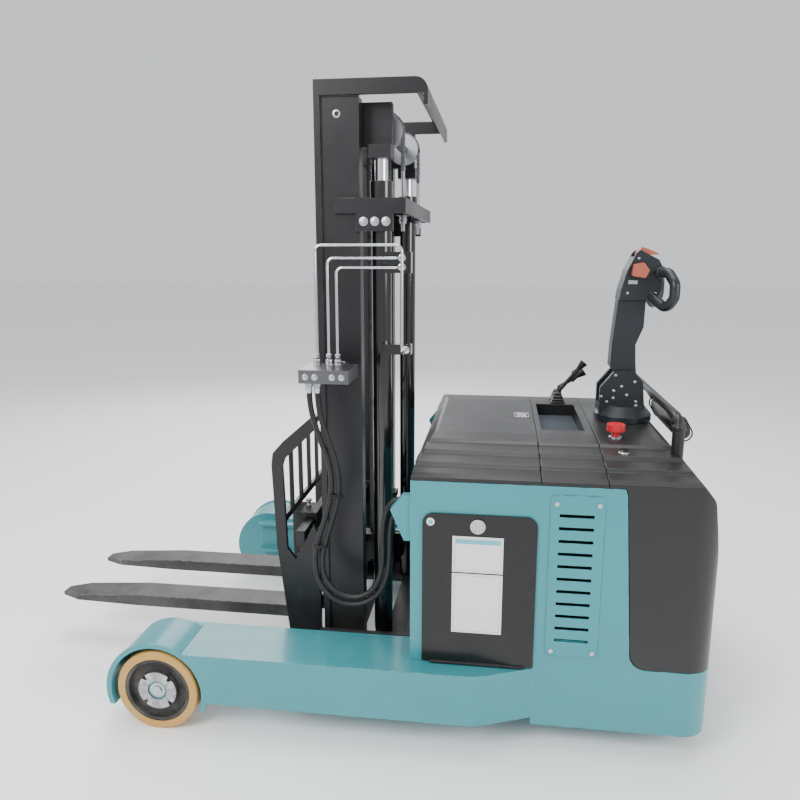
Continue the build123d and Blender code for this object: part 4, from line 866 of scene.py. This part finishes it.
# ------------------------------------------------------------------ outer mast
# Two rolled channels in satin black, joined by a top bow and a middle bow. Weld beads run where the bows
# meet the channels, bolts hold the middle bow's sides, and the chains' anchor rods stand in it.
dress(mast_black, "outer_mast")
RAIL_OUT, MAST_TOP = 350, 1862
for side, name in ((-1, "left"), (1, "right")):
    screws("bow_bolts_" + name, [at(x, side * (RAIL_OUT + 12), 1480) for x in (584, 616, 648)], 0.0085,
           (0, side, 0), zinc,
           "mast", height=0.7)
bow_seams = []
for side in (-1, 1):
    bow_seams.append([at(572, side * (RAIL_OUT + 1), z) for z in (1503, 1545)])
    bow_seams.append([at(x, side * (RAIL_OUT + 1), 1545) for x in (500, 571)])
    bow_seams.append([at(x, side * (RAIL_OUT + 0.5), MAST_TOP - 43) for x in (446, 571)])
grow("bow_welds", bead_tree, *chain_of(*bow_seams), {"Pitch": 0.0035, "Width": 0.0032, "Seed": 9}, mast_black,
     "mast", "mast_paint")
bush = bmesh.new()
for side in (-1, 1):
    turned(bush, [(0.011, -0.001), (0.011, 0.0012), (0.0095, 0.002), (0.0065, 0.002), (0.0065, -0.001)],
           at(508, side * RAIL_OUT, 1772), (0, side, 0), sides=28)
put("rail_bushes", bush, zinc, "mast")

CHAIN_X, CHAIN_Y = 675, 200
anchor = bmesh.new()
for side in (-1, 1):
    profile = [(0.0050, -0.046)]
    for k in range(60):
        profile += [(0.0060, -0.045 + k * 0.003), (0.0052, -0.0435 + k * 0.003)]
    turned(anchor, profile + [(0.0060, 0.136), (0.0060, 0.142)], at(CHAIN_X, side * CHAIN_Y, 1503), (0, 0, 1),
           sides=16)
put("chain_anchor_rods", anchor, zinc, "mast", ("lift_chains",))
for name, levels, way in (("upper", (1518, 1529), 1), ("lower", (1502, 1490), -1)):
    spots = [at(CHAIN_X, side * CHAIN_Y, z) for side in (-1, 1) for z in levels]
    screws("anchor_nuts_" + name, spots, 0.0105, (0, 0, way), zinc, "mast", height=0.8, washer=1.25)


# ------------------------------------------------------------------ inner mast, sheaves and lift chains
# The inner channels slide in the outer ones. A leaf chain on each side is anchored to the mast, goes over
# a sheave on the inner mast and down to the carriage: pins through stacks of oval plates.
dress(mast_black, "inner_mast")
dress(zinc, "chain_sheaves")
chain_steel = finish("chain_steel", (0.18, 0.18, 0.19), (0.5, 0.5, 0.5), 0.35, 0.001, 0.00004, metal=1.0,
                     shade=0.2, edge=0.0008, dust=0.1)
link_tree, link_in, link_out = new_geometry_tree("chain_links", [("Pitch", "Float"), ("Half width", "Float"),
                                                                ("Plate radius", "Float")])
chain_line = add(link_tree, "GeometryNodeMeshToCurve", {"Mesh": link_in["Geometry"]}).outputs[0]
chain_spots = add(link_tree, "GeometryNodeResampleCurve", {"Curve": chain_line, "Length": link_in["Pitch"]},
                  mode="LENGTH").outputs[0]
along_line = add(link_tree, "GeometryNodeInputTangent").outputs[0]
link_turn = add(link_tree, "FunctionNodeAlignRotationToVector", {"Vector": along_line}, axis="Z").outputs[0]
place_in_row = add(link_tree, "GeometryNodeInputIndex").outputs[0]
odd = add(link_tree, "Math", {0: place_in_row, 1: 2.0}, operation="MODULO").outputs[0]
plate_blank = add(link_tree, "GeometryNodeMeshCylinder", {"Vertices": 10, "Radius": link_in["Plate radius"],
                  "Depth": 0.0016}).outputs[0]
stacks = []
for offsets in ((-0.92, -0.46, 0.46, 0.92), (-0.69, -0.23, 0.23, 0.69)):
    stack = add(link_tree, "GeometryNodeJoinGeometry")
    for offset in offsets:
        shift = add(link_tree, "Math", {0: link_in["Half width"], 1: offset}, operation="MULTIPLY").outputs[0]
        shift_way = add(link_tree, "CombineXYZ", {"Y": shift}).outputs[0]
        stood = add(link_tree, "GeometryNodeTransform", {"Geometry": plate_blank, "Translation": shift_way,
                    "Rotation": (pi / 2, 0, 0), "Scale": (1.0, 1.55, 1.0)}).outputs[0]
        link_tree.links.new(stood, stack.inputs["Geometry"])
    pin_length = add(link_tree, "Math", {0: link_in["Half width"], 1: 2.1}, operation="MULTIPLY").outputs[0]
    pin = add(link_tree, "GeometryNodeMeshCylinder", {"Vertices": 8, "Radius": 0.0024,
                                                      "Depth": pin_length}).outputs[0]
    pin_across = add(link_tree, "GeometryNodeTransform", {"Geometry": pin,
                                                          "Rotation": (pi / 2, 0, 0)}).outputs[0]
    link_tree.links.new(pin_across, stack.inputs["Geometry"])
    stacks.append(stack.outputs[0])
even = add(link_tree, "Math", {0: 1.0, 1: odd}, operation="SUBTRACT").outputs[0]
rows = add(link_tree, "GeometryNodeJoinGeometry")
for stack, chosen in zip(stacks, (even, odd)):
    row = add(link_tree, "GeometryNodeInstanceOnPoints", {"Points": chain_spots, "Selection": chosen,
                                                          "Instance": stack,
                                                         "Rotation": link_turn}).outputs[0]
    link_tree.links.new(row, rows.inputs["Geometry"])
close_tree(link_tree, rows.outputs[0], link_in["Material"], link_out)

LINK_SIZES = {"Pitch": 0.0127, "Half width": 0.008, "Plate radius": 0.0062}
SHEAVE_X, SHEAVE_Z, CHAIN_BEND_R = 624, 1745, 51
CHAIN_FOOT = 498
turns = [[at(SHEAVE_X + CHAIN_BEND_R * cos(pi * k / 24), side * CHAIN_Y,
             SHEAVE_Z + CHAIN_BEND_R * sin(pi * k / 24))
          for k in range(25)] for side in (-1, 1)]
grow("chain_over_sheaves", link_tree, *chain_of(*turns), LINK_SIZES, chain_steel, "inner_mast", "zinc",
     ("lift_chains",))
rears = [[at(CHAIN_X, side * CHAIN_Y, z) for z in (1640, SHEAVE_Z - 6)] for side in (-1, 1)]
rear_run = grow("chain_rear_run", link_tree, *chain_of(*rears), LINK_SIZES, chain_steel, None, "zinc",
                ("lift_chains",))
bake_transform(rear_run)
fronts = [[at(SHEAVE_X - CHAIN_BEND_R, side * CHAIN_Y, z) for z in (SHEAVE_Z - 6,
                                                                    CHAIN_FOOT)] for side in (-1, 1)]
front_run = grow("chain_front_run", link_tree, *chain_of(*fronts), LINK_SIZES, chain_steel, None, "zinc",
                 ("lift_chains",))
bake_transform(front_run)


# ------------------------------------------------------------------ lift cylinders
# Two long barrels in gloss black stand behind the rails, each closed by a thin gland ring round the hard
# chromed rod that pushes up the inner mast's crosshead.
barrel_black = finish("barrel_black", (0.004, 0.004, 0.0045), (0.10, 0.10, 0.11), 0.16, 0.002, 0.00002,
                      edge=0.002, coat=0.5, dust=0.04, scratch=0.1)
dress(barrel_black, "lift_barrels")
dress(chrome, "lift_rods")
GLAND_Z = 1594
glands = bmesh.new()
for side in (-1, 1):
    turned(glands, [(0.0198, -0.002), (0.0290, -0.002), (0.0290, 0.0004), (0.0270, 0.0012), (0.0215, 0.0012),
                    (0.0198, 0.0006)], at(626, side * 300, GLAND_Z), (0, 0, 1), sides=48)
put("gland_rings", glands, zinc, "mast")


# ------------------------------------------------------------------ valve manifold and hard lines
# A brushed steel block on a bracket from the left rail. Hose tails screw into its underside, three bent
# chromed lines run over to the lift cylinder's ports, and plugs close its drillings.
brushed_steel = finish("brushed_steel", (0.13, 0.13, 0.14), (0.4, 0.4, 0.4), 0.36, 0.0008, 0.00008, metal=0.9,
                       shade=0.1, stretch=0.05, edge=0.002)
dress(brushed_steel, "manifold_block")
dress(chrome, "hydraulic_lines")
LINE_Y, BLOCK_TOP, BLOCK_FRONT = -440, 1083, -560
LINE_X, HOSE_X = (460, 495, 520), (448, 472)
PORTS = ((704, 1115), (692, 1379), (692, 1353))
UP, OUT = (0, 0, 1), (0, -1, 0)
FITTINGS = (
    ("line_nuts_low", [at(x, LINE_Y, BLOCK_TOP) for x in LINE_X], 0.0105, UP, chrome, 6, 1.1, 1.15),
    ("line_nuts_high", [at(x, LINE_Y, BLOCK_TOP + 20) for x in LINE_X], 0.0085, UP, chrome, 6, 0.9, 1.1),
    ("port_nuts", [at(x, -351, z) for x, z in PORTS], 0.0095, OUT, chrome, 6, 1.2, 1.15),
    ("manifold_plugs", [at(x, BLOCK_FRONT, 1064) for x in (456, 482, 530, 556)], 0.0065, OUT, zinc, 12, 0.5,
     1.35),
    ("bracket_bolts", [at(x, -400, 1078) for x in (484, 526)], 0.0075, UP, zinc, 6, 0.7, 1.5))
for name, spots, radius, way, metal, sides, height, washer in FITTINGS:
    screws(name, spots, radius, way, metal, "mast", sides, height, washer)
tails = bmesh.new()
for x in HOSE_X:
    turned(tails, [(0.0102, 0.0), (0.0112, -0.002), (0.0112, -0.018), (0.0096, -0.020), (0.0096, -0.034),
                   (0.0088, -0.036)], at(x, -492, 1044), (0, 0, 1), sides=24)
put("hose_ferrules", tails, zinc, "mast")
couplings = bmesh.new()
for z in (676, 702):
    turned(couplings, [(0.0088, -0.012), (0.0106, -0.010), (0.0106, 0.010), (0.0125, 0.010), (0.0125, 0.017)],
           at(726, -474, z), (1, 0, 0), sides=24)
put("hose_couplings", couplings, zinc, "chassis")


# ------------------------------------------------------------------ lift carriage, fork frame and forks
# Welded plate carriage in the inner mast, and a fork frame that tilts on two pins. The forged forks hang
# on its bars, with a spring pin on each hook, and their blades are rubbed bright along the edges.
dress(mast_black, "lift_carriage", "tilt_cylinder", "fork_frame")
fork_steel = finish("fork_steel", (0.014, 0.014, 0.015), (0.30, 0.29, 0.28), 0.46, 0.002, 0.00012, edge=0.005,
                    edge_wear_and_highlight=0.8, shade=0.3, worn_metal=0.9, worn_rough=0.35, dust=0.25, scratch=0.6)
dress(fork_steel, "fork_left", "fork_right")
for side, name in ((-1, "left"), (1, "right")):
    pin_top = high["fork_" + name].z
    middle = (low["fork_" + name].y + high["fork_" + name].y) / 2
    spring_pin = bmesh.new()
    turned(spring_pin, [(0.0085, -0.004), (0.0085, 0.010), (0.0065, 0.012), (0.0065, 0.020), (0.0100, 0.022),
                        (0.0100, 0.030), (0.0080, 0.032)], Vector((0.345 - MID, middle, pin_top)), (0, 0, 1),
           sides=24)
    put("fork_pin_" + name, spring_pin, zinc, "fork_" + name)
frame_seams = []
for side in (-1, 1):
    for z in (265, 521):
        frame_seams.append([at(x, side * 321, z) for x in (347, 373)])
    for z in (572, 800):
        frame_seams.append([at(x, side * 321, z) for x in (303, 313)])
grow("frame_welds", bead_tree, *chain_of(*frame_seams), {"Pitch": 0.0035, "Width": 0.003, "Seed": 2},
     mast_black, "fork_frame", "mast_paint")
